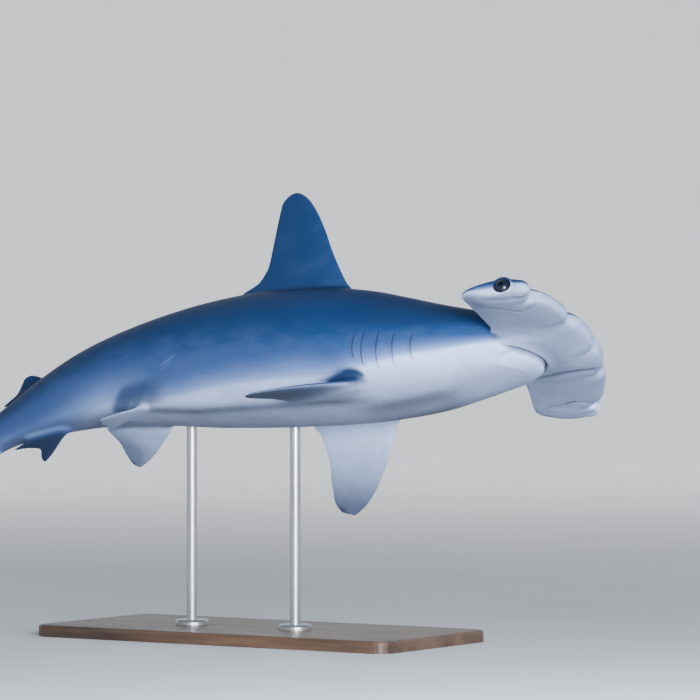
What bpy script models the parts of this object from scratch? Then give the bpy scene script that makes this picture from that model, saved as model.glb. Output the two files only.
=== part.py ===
# A scalloped hammerhead shark at life size, banking in a turn, as a still museum model.
# Two short rods on a flat base hold it. The animal is a grown female 2.3 m long.
# Body sizes are in per cent of total length, as sharks are measured: "station" runs back
# along the body from the snout, "right" and "up" are measured from the body's axis.
import math

import bpy
import bmesh
import numpy as np
from mathutils import Vector

# Driving sizes, in metres
TOTAL_LENGTH = 2.30
PER_CENT = TOTAL_LENGTH / 100
GAP = 0.0003
SHOULDER_STATION = 20
SHOULDER = Vector((0.355, -0.235, 0.665))
BASE_SIZE = (1.00, 0.46, 0.028)
BASE_TURN = math.radians(-33)
ROD_RADIUS = 0.0125
COLLAR_RADIUS = 0.040
COLLAR_HEIGHT = 0.012

# The body's bearing, in degrees: station, turn towards the viewer (-Y), climb, bank
BEARING = (
    (0, 18.4, 5.8, 27.7),
    (12, 18.6, 5.6, 27.0),
    (24, 29.3, 0.7, 18.4),
    (38, 33.9, 2.2, 23.4),
    (52, 31.1, 9.7, 27.9),
    (66, 33.0, 21.8, 25.5),
    (80, 34.5, 28.0, 22.5),
    (100, 31.0, 27.0, 20.0),
)

# The trunk's girth, per cent: station, height above the axis, depth below it, half width
GIRTH = (
    (1.2, 0.35, 0.35, 0.9),
    (3, 1.1, 1.2, 2.4),
    (6, 2.1, 2.3, 3.6),
    (9, 3.1, 3.1, 4.2),
    (12, 4.0, 4.3, 4.8),
    (16, 5.1, 5.4, 5.5),
    (20, 6.1, 6.0, 6.0),
    (25, 7.0, 6.5, 6.6),
    (30, 7.4, 6.75, 6.7),
    (36, 7.4, 6.9, 6.5),
    (42, 6.9, 6.8, 6.0),
    (48, 6.1, 6.2, 5.3),
    (54, 5.2, 5.3, 4.5),
    (60, 4.3, 4.3, 3.6),
    (66, 3.2, 3.2, 2.6),
    (70, 2.5, 2.4, 1.9),
    (72, 2.2, 2.15, 1.65),
)
TRUNK_SIDES = 32
TRUNK_STEP = 2.0

# Where the trunk is parted into its named lengths
HEAD_END = 12
NECK_END = 28
TORSO_END = 46
ABDOMEN_END = 60
STALK_END = 72

# The hammer, per cent
HAMMER_HALF_WIDTH = 13.5
HAMMER_PART = 5.0
HAMMER_ROUNDING = 1.0
HAMMER_LEVEL = -0.35
NOTCHES = ((0.0, 0.4, 0.7), (5.8, 0.65, 0.65), (11.15, 0.6, 0.4))
EYE_STATION = 6.2
EYE_LEVEL = -0.3
EYE_OUT = 12.95
EYE_RADIUS = 0.8
MOUTH_FRONT = 5.85
MOUTH_CORNER = (8.4, 3.6)
JAW_END = 12.5
CHIN = (7.9, 0, -2.0)
CHIN_REACH = (2.6, 3.6, 1.05)
JAW_ROOF = -1.45
MOUTH_OPENING = 0.16

# The five gill slits: station, top and bottom above the axis
GILLS = (
    (17.5, 0.2, -2.6),
    (19.2, 0.55, -2.85),
    (20.7, 0.7, -2.9),
    (22.1, 0.65, -2.7),
    (23.0, 0.45, -2.1),
)
SLIT_WIDTH = 0.24
SLIT_DEPTH = 0.4

# Fin outlines, per cent, from the root to the tip. Each row is the front margin's point,
# the rear margin's point and half the thickness. The first number of a point runs back
# along the body, the second out from it.
FIRST_DORSAL = (
    ((28.4, 5.4), (38.4, 5.4), 0.95),
    ((28.0, 7.2), (38.8, 7.35), 0.90),
    ((29.0, 8.4), (41.9, 7.85), 0.74),
    ((30.1, 9.9), (40.0, 9.2), 0.62),
    ((31.4, 11.8), (39.3, 11.3), 0.50),
    ((33.0, 14.4), (39.35, 14.2), 0.38),
    ((34.5, 16.5), (39.4, 16.6), 0.28),
    ((35.9, 18.1), (39.3, 18.1), 0.18),
    ((37.5, 19.0), (38.9, 18.95), 0.10),
)
SECOND_DORSAL = (
    ((65.4, 1.8), (68.9, 1.8), 0.40),
    ((65.3, 3.2), (69.2, 2.75), 0.34),
    ((66.1, 3.8), (72.0, 3.1), 0.24),
    ((67.0, 4.55), (69.9, 3.7), 0.17),
    ((67.8, 5.05), (69.1, 4.7), 0.12),
    ((68.3, 5.25), (68.8, 5.15), 0.08),
)
ANAL = (
    ((62.3, 2.2), (67.4, 2.0), 0.45),
    ((61.8, 3.85), (67.6, 2.9), 0.40),
    ((63.0, 4.35), (70.6, 3.05), 0.28),
    ((64.1, 5.2), (68.2, 3.9), 0.20),
    ((65.2, 6.1), (66.6, 4.9), 0.14),
    ((66.1, 6.5), (66.5, 6.0), 0.08),
)
PECTORAL = (
    ((-0.3, -2.2), (5.4, -2.2), 1.00),
    ((0.3, 0.0), (6.0, 0.1), 0.95),
    ((1.4, 1.2), (10.7, 1.2), 0.72),
    ((2.3, 2.8), (9.9, 2.8), 0.60),
    ((3.7, 5.6), (9.75, 5.4), 0.44),
    ((5.3, 8.2), (10.1, 8.0), 0.30),
    ((7.1, 10.3), (10.25, 9.9), 0.18),
    ((8.5, 11.4), (9.8, 11.1), 0.09),
)
PELVIC = (
    ((-0.1, -2.0), (4.4, -2.0), 0.60),
    ((0.2, 0.0), (4.8, 0.0), 0.50),
    ((1.3, 1.2), (8.4, 0.5), 0.32),
    ((2.6, 2.5), (6.7, 1.9), 0.22),
    ((3.9, 3.5), (6.1, 3.0), 0.15),
    ((4.8, 4.0), (5.5, 3.8), 0.09),
)
UPPER_LOBE = (
    ((72.0, 2.1), (72.0, -2.1), 1.60),
    ((74.6, 2.45), (76.0, -2.2), 1.28),
    ((78.2, 3.6), (79.9, -2.1), 0.95),
    ((81.3, 5.0), (82.0, 0.9), 0.72),
    ((85.6, 7.1), (86.3, 3.5), 0.54),
    ((90.0, 9.2), (90.8, 6.1), 0.40),
    ((93.8, 11.0), (94.9, 8.4), 0.28),
    ((95.2, 11.7), (95.9, 9.6), 0.22),
    ((96.4, 12.3), (97.4, 8.9), 0.18),
    ((98.4, 13.2), (99.2, 11.4), 0.13),
    ((99.6, 13.7), (99.9, 13.2), 0.08),
)
LOWER_LOBE = (
    ((72.6, -0.6), (79.4, -0.6), 0.75),
    ((73.2, -2.6), (79.5, -2.5), 0.70),
    ((75.1, -4.9), (79.3, -4.4), 0.50),
    ((77.5, -7.9), (80.2, -7.4), 0.32),
    ((79.3, -10.1), (80.9, -9.7), 0.18),
    ((80.4, -10.9), (80.9, -10.8), 0.09),
)
EDGE_HALF = 0.04
FORK_LEVEL = -1.9

# Paired fins, per cent and degrees: root station, out from the midline, below the axis,
# then the fin's droop, its toe-in and the lift of its front margin
PECTORAL_ROOT = (22.2, 5.2, -4.0)
PECTORAL_SET = {"left": (44.5, 0.5, -1), "right": (15, 4, 16)}
PECTORAL_SIZE = {"left": (1.07, 1.06), "right": (0.76, 0.91)}
PELVIC_ROOT = (49.6, 2.6, -5.5)
PELVIC_SET = {"left": (42, 11, -6), "right": (22, 22, 14)}
PELVIC_SIZE = {"left": (1.08, 1.22), "right": (0.8, 0.8)}

FRONT_ROD_STATION = 33.5
REAR_ROD_STATION = 46.5


def smooth_rows(rows, where):
    """Values between a table's rows, on a curve that never overshoots a row."""
    table = np.array(rows, float)
    x, y = table[:, 0], table[:, 1:]
    step = np.diff(x)[:, None]
    rise = np.diff(y, axis=0) / step
    slope = np.zeros_like(y)
    slope[0], slope[-1] = rise[0], rise[-1]
    same = rise[:-1] * rise[1:] > 0
    total = np.where(same, rise[:-1] + rise[1:], 1)
    slope[1:-1] = np.where(same, 2 * rise[:-1] * rise[1:] / total, 0)
    where = np.clip(np.atleast_1d(np.asarray(where, float)), x[0], x[-1])
    i = np.clip(np.searchsorted(x, where, "right") - 1, 0, len(x) - 2)
    h = (x[i + 1] - x[i])[:, None]
    t = (where - x[i])[:, None] / h
    return (
        (1 + 2 * t) * (1 - t) ** 2 * y[i]
        + t * (1 - t) ** 2 * h * slope[i]
        + t * t * (3 - 2 * t) * y[i + 1]
        + t * t * (t - 1) * h * slope[i + 1]
    )


class Spine:
    """The body's curved axis: at each station a point and the ways forward, up and right."""

    def __init__(self):
        self.stations = np.arange(0, 100.25, 0.25)
        turn, climb, bank = np.radians(smooth_rows(BEARING, self.stations)).T
        forward = np.stack(
            [np.cos(climb) * np.cos(turn), -np.cos(climb) * np.sin(turn), np.sin(climb)], 1
        )
        level_up = np.stack(
            [-np.sin(climb) * np.cos(turn), np.sin(climb) * np.sin(turn), np.cos(climb)], 1
        )
        level_right = np.cross(forward, level_up)
        right = level_right * np.cos(bank)[:, None] + level_up * np.sin(bank)[:, None]
        up = level_up * np.cos(bank)[:, None] - level_right * np.sin(bank)[:, None]
        steps = -(forward[1:] + forward[:-1]) / 2 * np.diff(self.stations)[:, None]
        axis = np.vstack([np.zeros(3), np.cumsum(steps, axis=0)]) * PER_CENT
        shoulder = [np.interp(SHOULDER_STATION, self.stations, c) for c in axis.T]
        self.axis = axis - np.array(shoulder) + np.array(SHOULDER)
        self.forward, self.up, self.right = forward, up, right

    def at(self, field, station):
        return Vector([np.interp(station, self.stations, c) for c in field.T])

    def place(self, station, right, up):
        """World point of a body point. Ahead of the snout and behind the tail it runs straight."""
        inside = min(max(station, 0), 100)
        point = self.at(self.axis, inside)
        point -= self.at(self.forward, inside) * (station - inside) * PER_CENT
        point += self.at(self.right, inside) * right * PER_CENT
        return point + self.at(self.up, inside) * up * PER_CENT


SPINE = Spine()


def material(name, colour, roughness, metallic=0.0):
    made = bpy.data.materials.new(name)
    made.use_nodes = True
    shader = made.node_tree.nodes["Principled BSDF"]
    shader.inputs["Base Color"].default_value = (*colour, 1)
    shader.inputs["Roughness"].default_value = roughness
    shader.inputs["Metallic"].default_value = metallic
    return made


def object_from(name, points, faces, finish):
    """A closed mesh object. Its faces are turned to point out."""
    mesh = bpy.data.meshes.new(name)
    mesh.from_pydata([tuple(p) for p in points], [], faces)
    shell = bmesh.new()
    shell.from_mesh(mesh)
    bmesh.ops.recalc_face_normals(shell, faces=shell.faces)
    shell.to_mesh(mesh)
    shell.free()
    mesh.shade_smooth()
    mesh.set_sharp_from_angle(angle=math.radians(50))
    made = bpy.data.objects.new(name, mesh)
    bpy.context.scene.collection.objects.link(made)
    if finish:
        mesh.materials.append(finish)
    return made


def loft(name, rings, finish, place=None):
    """A tube through closed rings of equal count, with both ends capped."""
    count = len(rings[0])
    place = place or SPINE.place
    points = [place(*p) for ring in rings for p in ring]
    faces = [tuple(range(count))[::-1]]
    for k in range(len(rings) - 1):
        a, b = k * count, (k + 1) * count
        for i in range(count):
            j = (i + 1) % count
            faces.append((a + i, a + j, b + j, b + i))
    last = (len(rings) - 1) * count
    faces.append(tuple(range(last, last + count)))
    return object_from(name, points, faces, finish)


def helper(obj):
    """Marks a cutter or guide, which isn't part of the model."""
    obj.hide_render = True
    obj.display_type = "WIRE"
    return obj


def keep_largest(mesh):
    """Drops every closed surface of the mesh but the largest."""
    shell = bmesh.new()
    shell.from_mesh(mesh)
    unseen, islands = set(shell.verts), []
    while unseen:
        stack, island = [unseen.pop()], []
        while stack:
            vert = stack.pop()
            island.append(vert)
            near = [e.other_vert(vert) for e in vert.link_edges]
            for other in near:
                if other in unseen:
                    unseen.remove(other)
                    stack.append(other)
        islands.append(island)
    islands.sort(key=len)
    for island in islands[:-1]:
        bmesh.ops.delete(shell, geom=island, context="VERTS")
    shell.to_mesh(mesh)
    shell.free()


def combine(obj, operation, *others, solver="EXACT"):
    """Joins other objects to obj, cuts them from it or keeps what it shares with them."""
    for other in others:
        step = obj.modifiers.new(operation.lower(), "BOOLEAN")
        step.operation = operation
        step.solver = solver
        step.object = other
    bpy.context.view_layer.update()
    graph = bpy.context.evaluated_depsgraph_get()
    mesh = bpy.data.meshes.new_from_object(obj.evaluated_get(graph))
    obj.modifiers.clear()
    old, obj.data = obj.data, mesh
    bpy.data.meshes.remove(old)
    mesh.name = obj.name
    keep_largest(mesh)
    return obj


def discard(*objects):
    for obj in objects:
        mesh = obj.data
        bpy.data.objects.remove(obj)
        bpy.data.meshes.remove(mesh)


def trunk_ring(station, grow=0.0):
    """One cross-section of the trunk, as points of station, right and up."""
    high, deep, wide = smooth_rows(GIRTH, station)[0] + grow
    ring = []
    for k in range(TRUNK_SIDES):
        angle = 2 * math.pi * k / TRUNK_SIDES
        height = high if math.sin(angle) > 0 else deep
        ring.append((station, wide * math.cos(angle), height * math.sin(angle)))
    return ring


def trunk_length(name, start, end, finish, grow=0.0):
    """A length of the trunk between two stations, with flat ends half a gap inside them."""
    inset = GAP / 2 / PER_CENT
    inner = [s for s in np.arange(0, 100, TRUNK_STEP) if start + 0.1 < s < end - 0.1]
    stations = [start + inset, *inner, end - inset]
    return loft(name, [trunk_ring(s, grow) for s in stations], finish)


def front_margin(out):
    """The hammer's front edge: a broad arch with the scallops' notches."""
    out = abs(out)
    edge = 0.42 + 3.1 * (out / 12.6) ** 1.75
    for place, depth, width in NOTCHES:
        edge += depth * math.exp(-(((out - place) / width) ** 2))
    return edge


def rear_margin(out):
    """The hammer's rear edge: swept back to the tips and flared where it meets the neck."""
    out = abs(out)
    flare = 0.9 * math.exp(-((max(0, out - 4.0) / 0.9) ** 2))
    return 9.45 + 1.3 * (out / 13) ** 2 + flare


def hammer_thickness(out):
    """Half the hammer's thickness: thick at the midline, thin along the wing, fuller at the eye."""
    out = abs(out)
    middle = 0.75 * math.exp(-((out / 4.5) ** 2))
    eye = 0.26 * math.exp(-(((out - 12.6) / 1.4) ** 2))
    return 1.0 + middle + eye


def hammer_ring(out, sides=10):
    """A front-to-back section of the hammer, as points of station, right and up."""
    front, rear, half = front_margin(out), rear_margin(out), hammer_thickness(out)
    past = (abs(out) - (HAMMER_HALF_WIDTH - HAMMER_ROUNDING)) / HAMMER_ROUNDING
    if past > 0:
        round_off = 1 - math.sqrt(max(0, 1 - past * past))
        front += 1.7 * round_off
        rear -= 1.6 * round_off
        half *= 1 - 0.62 * round_off
    droop = HAMMER_LEVEL - 0.12 * (out / HAMMER_HALF_WIDTH) ** 2
    shares = [0.5 - 0.5 * math.cos(math.pi * k / sides) for k in range(sides + 1)]
    top, bottom = [], []
    for share in shares:
        body = math.sqrt(max(0, math.sin(math.pi * share**0.6))) * (1 - 0.42 * share**2)
        height = max(half * body, 0.07)
        station = front + (rear - front) * share
        top.append((station, out, droop + height))
        bottom.append((station, out, droop - height))
    return top + bottom[::-1]


def hammer_span(name, outs, finish):
    return loft(name, [hammer_ring(out) for out in outs], finish)


HAMMER_OUTS = (0, 0.5, 1.2, 2.4, 3.6, 4.6)
WING_OUTS = (
    5.35,
    5.8,
    6.3,
    7.1,
    8.2,
    9.4,
    10.3,
    10.75,
    11.15,
    11.5,
    12.0,
    12.5,
    12.9,
    13.2,
    13.4,
    13.5,
)


def blade(name, rows, chords, finish, place, evenness=0.0):
    """A fin lofted from rows of front point, rear point and half thickness.
    evenness 1 gives the first row an oval section, 0 a foil's."""
    flat = [
        (k, *front, *rear, half) for k, (front, rear, half) in enumerate(rows)
    ]
    shares = [0.5 - 0.5 * math.cos(math.pi * k / chords) for k in range(chords + 1)]
    rings = []
    for where in np.arange(0, len(rows) - 0.5, 0.5):
        fa, fb, ra, rb, half = smooth_rows(flat, where)[0]
        oval_part = evenness * max(0, 1 - where / 2)
        one, other = [], []
        for share in shares:
            foil = 1.75 * math.sqrt(share) * (1 - share) + 0.35 * share * (1 - share)
            oval = math.sqrt(max(0, 1 - (2 * share - 1) ** 2))
            body = oval_part * oval + (1 - oval_part) * foil
            side = half * body + EDGE_HALF * (1 - body if body < 1 else 0)
            back, out = fa + (ra - fa) * share, fb + (rb - fb) * share
            one.append((back, out, side))
            other.append((back, out, -side))
        rings.append(one + other[::-1])
    return loft(name, rings, finish, place)


def median_place(sign):
    """For fins on the midline: back along the body, then up or down from the axis."""
    return lambda back, out, side: SPINE.place(back, side, sign * out)


def paired_place(root, side, settings, size):
    """For a paired fin: a flat frame at its root, drooped, toed in and tipped."""
    station, out, up = root
    droop, toe, lift = [math.radians(a) for a in settings]
    sign = 1 if side == "right" else -1
    forward = SPINE.at(SPINE.forward, station)
    right = SPINE.at(SPINE.right, station) * sign
    rise = SPINE.at(SPINE.up, station)
    away = right * math.cos(droop) - rise * math.sin(droop)
    normal = rise * math.cos(droop) + right * math.sin(droop)
    back = -forward * math.cos(toe) - away * math.sin(toe)
    away = away * math.cos(toe) - forward * math.sin(toe)
    chord = back * math.cos(lift) - normal * math.sin(lift)
    normal = normal * math.cos(lift) + back * math.sin(lift)
    start = SPINE.place(station, sign * out, up)

    def place(a, b, c):
        return start + (chord * a * size[0] + away * b * size[1] + normal * c) * PER_CENT

    return place


def fixed_place(station):
    """The body's frame at one station, carried on straight, so that flat faces stay flat."""
    here = SPINE.at(SPINE.axis, station)
    back = -SPINE.at(SPINE.forward, station)
    right, rise = SPINE.at(SPINE.right, station), SPINE.at(SPINE.up, station)
    return lambda s, r, u: here + (back * (s - station) + right * r + rise * u) * PER_CENT


def slit_cutter(station, top, bottom, side):
    """A wedge along one gill slit: a steep front wall and a slanting rear one."""
    rings = []
    steps = 6
    for k in range(steps + 1):
        share = k / steps
        up = top + (bottom - top) * share
        here = station + 0.12 * math.sin(math.pi * share)
        high, deep, wide = smooth_rows(GIRTH, here)[0]
        height = high if up > 0 else deep
        skin = wide * math.sqrt(max(0, 1 - (up / height) ** 2))
        full = math.sin(math.pi * (0.06 + 0.88 * share)) ** 0.5
        rings.append(
            [
                (here - 0.04, side * (skin + 0.15), up),
                (here + SLIT_WIDTH * full, side * (skin + 0.15), up),
                (here + 0.05, side * (skin - SLIT_DEPTH * full), up),
            ]
        )
    return helper(loft("slit_cutter", rings, None))


def ball(name, centre, radius, finish, segments=20, rings=12, squash=(1, 1, 1)):
    """A sphere, or an ellipsoid, in the head's frame."""
    reach = [radius * share for share in squash]
    turns = [2 * math.pi * i / segments for i in range(segments)]
    ring_points = []
    for k in range(1, rings):
        polar = math.pi * k / rings
        wide = math.sin(polar)
        ring = []
        for turn in turns:
            station = centre[0] + reach[0] * wide * math.cos(turn)
            up = centre[2] + reach[2] * wide * math.sin(turn)
            ring.append((station, centre[1] + reach[1] * math.cos(polar), up))
        ring_points.append(ring)
    return loft(name, ring_points, finish)


def eye_rim(name, side, finish, segments=20, sides=6):
    """The thick lid that rings the eye."""
    major, minor = EYE_RADIUS * 0.93, 0.16
    centre = (EYE_STATION, side * (EYE_OUT + 0.36), EYE_LEVEL)
    points = []
    for i in range(segments):
        turn = 2 * math.pi * i / segments
        for k in range(sides):
            tube = 2 * math.pi * k / sides
            reach = major + minor * math.cos(tube)
            points.append(
                SPINE.place(
                    centre[0] + reach * math.cos(turn) * 1.12,
                    centre[1] + side * minor * math.sin(tube),
                    centre[2] + reach * math.sin(turn),
                )
            )
    faces = []
    for i in range(segments):
        for k in range(sides):
            a, b = i * sides, ((i + 1) % segments) * sides
            faces.append((a + k, a + (k + 1) % sides, b + (k + 1) % sides, b + k))
    return object_from(name, points, faces, finish)


def mouth_outline(opening):
    """The lower jaw seen from below: the mouth's arch, its corners and the throat's end."""
    corner_station, corner_out = MOUTH_CORNER
    steps = 12
    outline = []
    for k in range(steps + 1):
        out = corner_out * (2 * k / steps - 1)
        arch = MOUTH_FRONT + (corner_station - MOUTH_FRONT) * (out / corner_out) ** 2
        outline.append((arch - opening, out))
    outline.insert(0, (corner_station + 0.05, -corner_out))
    outline.append((corner_station + 0.05, corner_out))
    outline.append((JAW_END, corner_out * 0.82))
    outline.append((JAW_END, -corner_out * 0.82))
    return outline


def jaw_block(name, opening, grow, finish=None):
    """A prism over the mouth's outline, from under the chin up to the mouth's roof."""
    grow = grow / PER_CENT
    rings = []
    place = fixed_place(MOUTH_FRONT)
    for up in (-7.0, JAW_ROOF + grow):
        rings.append(
            [
                (s + (grow if s >= JAW_END else 0), r + math.copysign(grow, r), up)
                for s, r in mouth_outline(opening)
            ]
        )
    return loft(name, rings, finish, place)


def make_head(skin, eye_finish):
    """The head, the two wings of the hammer, the lower jaw and the eyes."""
    outs = sorted({s * out for out in HAMMER_OUTS for s in (-1, 1)})
    inset = GAP / 2 / PER_CENT
    edge = HAMMER_PART - inset
    head = trunk_length("head", GIRTH[0][0], HEAD_END, skin)
    middle = hammer_span("hammer_middle", [-edge, *outs, edge], skin)
    combine(head, "UNION", middle)
    jaw = jaw_block("jaw", 0, 0, skin)
    gap_block = jaw_block("jaw_gap", MOUTH_OPENING, GAP)
    below = head.copy()
    below.data = head.data.copy()
    bpy.context.scene.collection.objects.link(below)
    chin = ball("chin", CHIN, 1, None, squash=CHIN_REACH)
    combine(below, "UNION", chin)
    combine(jaw, "INTERSECT", below)
    combine(head, "DIFFERENCE", gap_block)
    discard(middle, gap_block, below, chin)
    for name, side in (("right", 1), ("left", -1)):
        wing_outs = [side * out for out in (HAMMER_PART + inset, *WING_OUTS)]
        wing = hammer_span("hammer_" + name, wing_outs, skin)
        centre = (EYE_STATION, side * EYE_OUT, EYE_LEVEL)
        rim = eye_rim("rim", side, skin)
        socket = ball("socket", centre, EYE_RADIUS + GAP / PER_CENT, None)
        nostril_out = NOTCHES[2][0] - 0.1
        nostril = ball(
            "nostril",
            (front_margin(nostril_out) + 0.55, side * nostril_out, HAMMER_LEVEL - 0.75),
            0.5,
            None,
            segments=10,
            rings=6,
            squash=(1.3, 0.55, 0.9),
        )
        combine(wing, "UNION", rim)
        combine(wing, "DIFFERENCE", socket, nostril)
        ball("eye_" + name, centre, EYE_RADIUS, eye_finish)
        discard(rim, socket, nostril)


def make_trunk(skin):
    """The neck with its gill slits, the torso, the abdomen and the tail's stalk."""
    neck = trunk_length("neck", HEAD_END, NECK_END, skin)
    cutters = [slit_cutter(*gill, side) for gill in GILLS for side in (-1, 1)]
    combine(neck, "DIFFERENCE", *cutters)
    discard(*cutters)
    trunk_length("torso", NECK_END, TORSO_END, skin)
    trunk_length("abdomen", TORSO_END, ABDOMEN_END, skin)
    trunk_length("tail_stalk", ABDOMEN_END, STALK_END, skin)


def make_fins(skin, guide):
    """Every fin, with its root cut to the trunk that it grows from."""
    up, down = median_place(1), median_place(-1)
    fins = [
        blade("first_dorsal_fin", FIRST_DORSAL, 8, skin, up),
        blade("second_dorsal_fin", SECOND_DORSAL, 6, skin, up),
        blade("anal_fin", ANAL, 6, skin, down),
    ]
    for side in ("left", "right"):
        place = paired_place(PECTORAL_ROOT, side, PECTORAL_SET[side], PECTORAL_SIZE[side])
        fins.append(blade("pectoral_fin_" + side, PECTORAL, 8, skin, place))
        place = paired_place(PELVIC_ROOT, side, PELVIC_SET[side], PELVIC_SIZE[side])
        fins.append(blade("pelvic_fin_" + side, PELVIC, 6, skin, place))
    for fin in fins:
        combine(fin, "DIFFERENCE", guide)


def make_tail(skin):
    """The two lobes of the tail fin. The lower one meets the upper along a flat cut."""
    inset = GAP / 2 / PER_CENT
    upper_rows = list(UPPER_LOBE)
    (front, up), (rear, down), half = upper_rows[0]
    upper_rows[0] = ((front + inset, up), (rear + inset, down), half)
    upper = blade("caudal_upper_lobe", upper_rows, 10, skin, median_place(1), 1.0)
    lower = blade("caudal_lower_lobe", LOWER_LOBE, 8, skin, median_place(1))
    corners = [(70, -4), (86, -4), (86, 4), (70, 4)]
    place = fixed_place(76)
    spans = {"tail_floor": (-20, FORK_LEVEL), "tail_roof": (FORK_LEVEL - 2 * inset, 6)}
    floor, roof = [
        loft(name, [[(s, r, up) for s, r in corners] for up in span], None, place)
        for name, span in spans.items()
    ]
    combine(upper, "DIFFERENCE", floor)
    combine(lower, "DIFFERENCE", roof)
    discard(floor, roof)


def turned(name, profile, centre, finish, segments=32):
    """A turned piece on a vertical axis, from rows of radius and height."""
    rings = [
        [
            (
                centre[0] + radius * math.cos(2 * math.pi * k / segments),
                centre[1] + radius * math.sin(2 * math.pi * k / segments),
                height,
            )
            for k in range(segments)
        ]
        for radius, height in profile
    ]
    return loft(name, rings, finish, place=lambda x, y, z: Vector((x, y, z)))


def make_stand(wood, steel, guide):
    """The flat base, and the two collars and rods that stand on it."""
    length, width, height = BASE_SIZE
    shell = bmesh.new()
    bmesh.ops.create_cube(shell, size=1)
    bmesh.ops.scale(shell, vec=BASE_SIZE, verts=shell.verts)
    bmesh.ops.translate(shell, vec=(0, 0, height / 2), verts=shell.verts)
    upright = [e for e in shell.edges if abs(e.verts[0].co.z - e.verts[1].co.z) > height / 2]
    bmesh.ops.bevel(shell, geom=upright, offset=0.04, segments=6, affect="EDGES", profile=0.5)
    top = [e for e in shell.edges if all(v.co.z > height * 0.9 for v in e.verts)]
    bmesh.ops.bevel(shell, geom=top, offset=0.006, segments=2, affect="EDGES", profile=0.5)
    cosine, sine = math.cos(BASE_TURN), math.sin(BASE_TURN)
    turn = np.array([[cosine, -sine], [sine, cosine]])
    for vert in shell.verts:
        vert.co.x, vert.co.y = turn @ np.array(vert.co.xy)
    mesh = bpy.data.meshes.new("stand_base")
    shell.to_mesh(mesh)
    shell.free()
    mesh.materials.append(wood)
    base = bpy.data.objects.new("stand_base", mesh)
    bpy.context.scene.collection.objects.link(base)
    for name, station in (("front", FRONT_ROD_STATION), ("rear", REAR_ROD_STATION)):
        over = SPINE.at(SPINE.axis, station)
        foot = height + GAP
        collar = [
            (COLLAR_RADIUS, foot),
            (COLLAR_RADIUS, foot + COLLAR_HEIGHT * 0.6),
            (COLLAR_RADIUS * 0.9, foot + COLLAR_HEIGHT),
        ]
        turned("stand_collar_" + name, collar, over, steel)
        rod_foot = foot + COLLAR_HEIGHT + GAP
        rod_ends = [(ROD_RADIUS, rod_foot), (ROD_RADIUS, over.z)]
        rod = turned("stand_rod_" + name, rod_ends, over, steel, 24)
        combine(rod, "DIFFERENCE", guide)


for old in list(bpy.data.objects):
    bpy.data.objects.remove(old)

SKIN = material("skin", (0.32, 0.40, 0.50), 0.45)
EYE = material("eye", (0.02, 0.02, 0.03), 0.08)
WOOD = material("stand_wood", (0.10, 0.06, 0.04), 0.4)
STEEL = material("stand_steel", (0.60, 0.60, 0.62), 0.3, 1.0)

trunk_guide = helper(trunk_length("trunk_guide", GIRTH[0][0], STALK_END, None, grow=GAP / PER_CENT))
make_head(SKIN, EYE)
make_trunk(SKIN)
make_fins(SKIN, trunk_guide)
make_tail(SKIN)
make_stand(WOOD, STEEL, trunk_guide)
discard(trunk_guide)
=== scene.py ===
import math

import bmesh
import bpy
import numpy as np
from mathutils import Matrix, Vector


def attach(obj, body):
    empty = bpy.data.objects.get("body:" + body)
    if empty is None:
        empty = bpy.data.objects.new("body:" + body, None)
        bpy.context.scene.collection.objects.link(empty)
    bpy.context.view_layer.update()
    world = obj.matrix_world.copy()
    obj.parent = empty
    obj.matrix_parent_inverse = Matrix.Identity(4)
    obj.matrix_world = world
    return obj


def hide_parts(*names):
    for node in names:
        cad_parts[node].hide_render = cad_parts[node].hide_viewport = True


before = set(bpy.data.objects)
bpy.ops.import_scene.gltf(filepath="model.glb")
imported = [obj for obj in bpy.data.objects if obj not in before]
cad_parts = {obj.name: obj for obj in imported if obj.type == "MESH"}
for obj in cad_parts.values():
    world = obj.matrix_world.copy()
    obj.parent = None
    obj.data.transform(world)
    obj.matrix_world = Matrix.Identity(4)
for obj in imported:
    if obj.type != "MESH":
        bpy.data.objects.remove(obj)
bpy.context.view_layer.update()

# The posture. The animal is cast round a bent armature that holds its turn, climb and bank.
# Sizes are in per cent of its length: station runs back from the snout along the armature,
# right and up are measured from it.
TOTAL_LENGTH = 2.30
PER_CENT = TOTAL_LENGTH / 100
SHOULDER_STATION = 20
SHOULDER = (0.355, -0.235, 0.665)
BEARING = (
    (0, 18.4, 5.8, 27.7),
    (12, 18.6, 5.6, 27.0),
    (24, 29.3, 0.7, 18.4),
    (38, 33.9, 2.2, 23.4),
    (52, 31.1, 9.7, 27.9),
    (66, 33.0, 21.8, 25.5),
    (80, 34.5, 28.0, 22.5),
    (100, 31.0, 27.0, 20.0),
)


def smooth_rows(rows, where):
    """Values between a table's rows, on a curve that never overshoots a row."""
    table = np.array(rows, float)
    x, y = table[:, 0], table[:, 1:]
    step = np.diff(x)[:, None]
    rise = np.diff(y, axis=0) / step
    slope = np.zeros_like(y)
    slope[0], slope[-1] = rise[0], rise[-1]
    same = rise[:-1] * rise[1:] > 0
    total = np.where(same, rise[:-1] + rise[1:], 1)
    slope[1:-1] = np.where(same, 2 * rise[:-1] * rise[1:] / total, 0)
    where = np.clip(np.atleast_1d(np.asarray(where, float)), x[0], x[-1])
    i = np.clip(np.searchsorted(x, where, "right") - 1, 0, len(x) - 2)
    h = (x[i + 1] - x[i])[:, None]
    t = (where - x[i])[:, None] / h
    return (
        (1 + 2 * t) * (1 - t) ** 2 * y[i]
        + t * (1 - t) ** 2 * h * slope[i]
        + t * t * (3 - 2 * t) * y[i + 1]
        + t * t * (t - 1) * h * slope[i + 1]
    )


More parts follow.
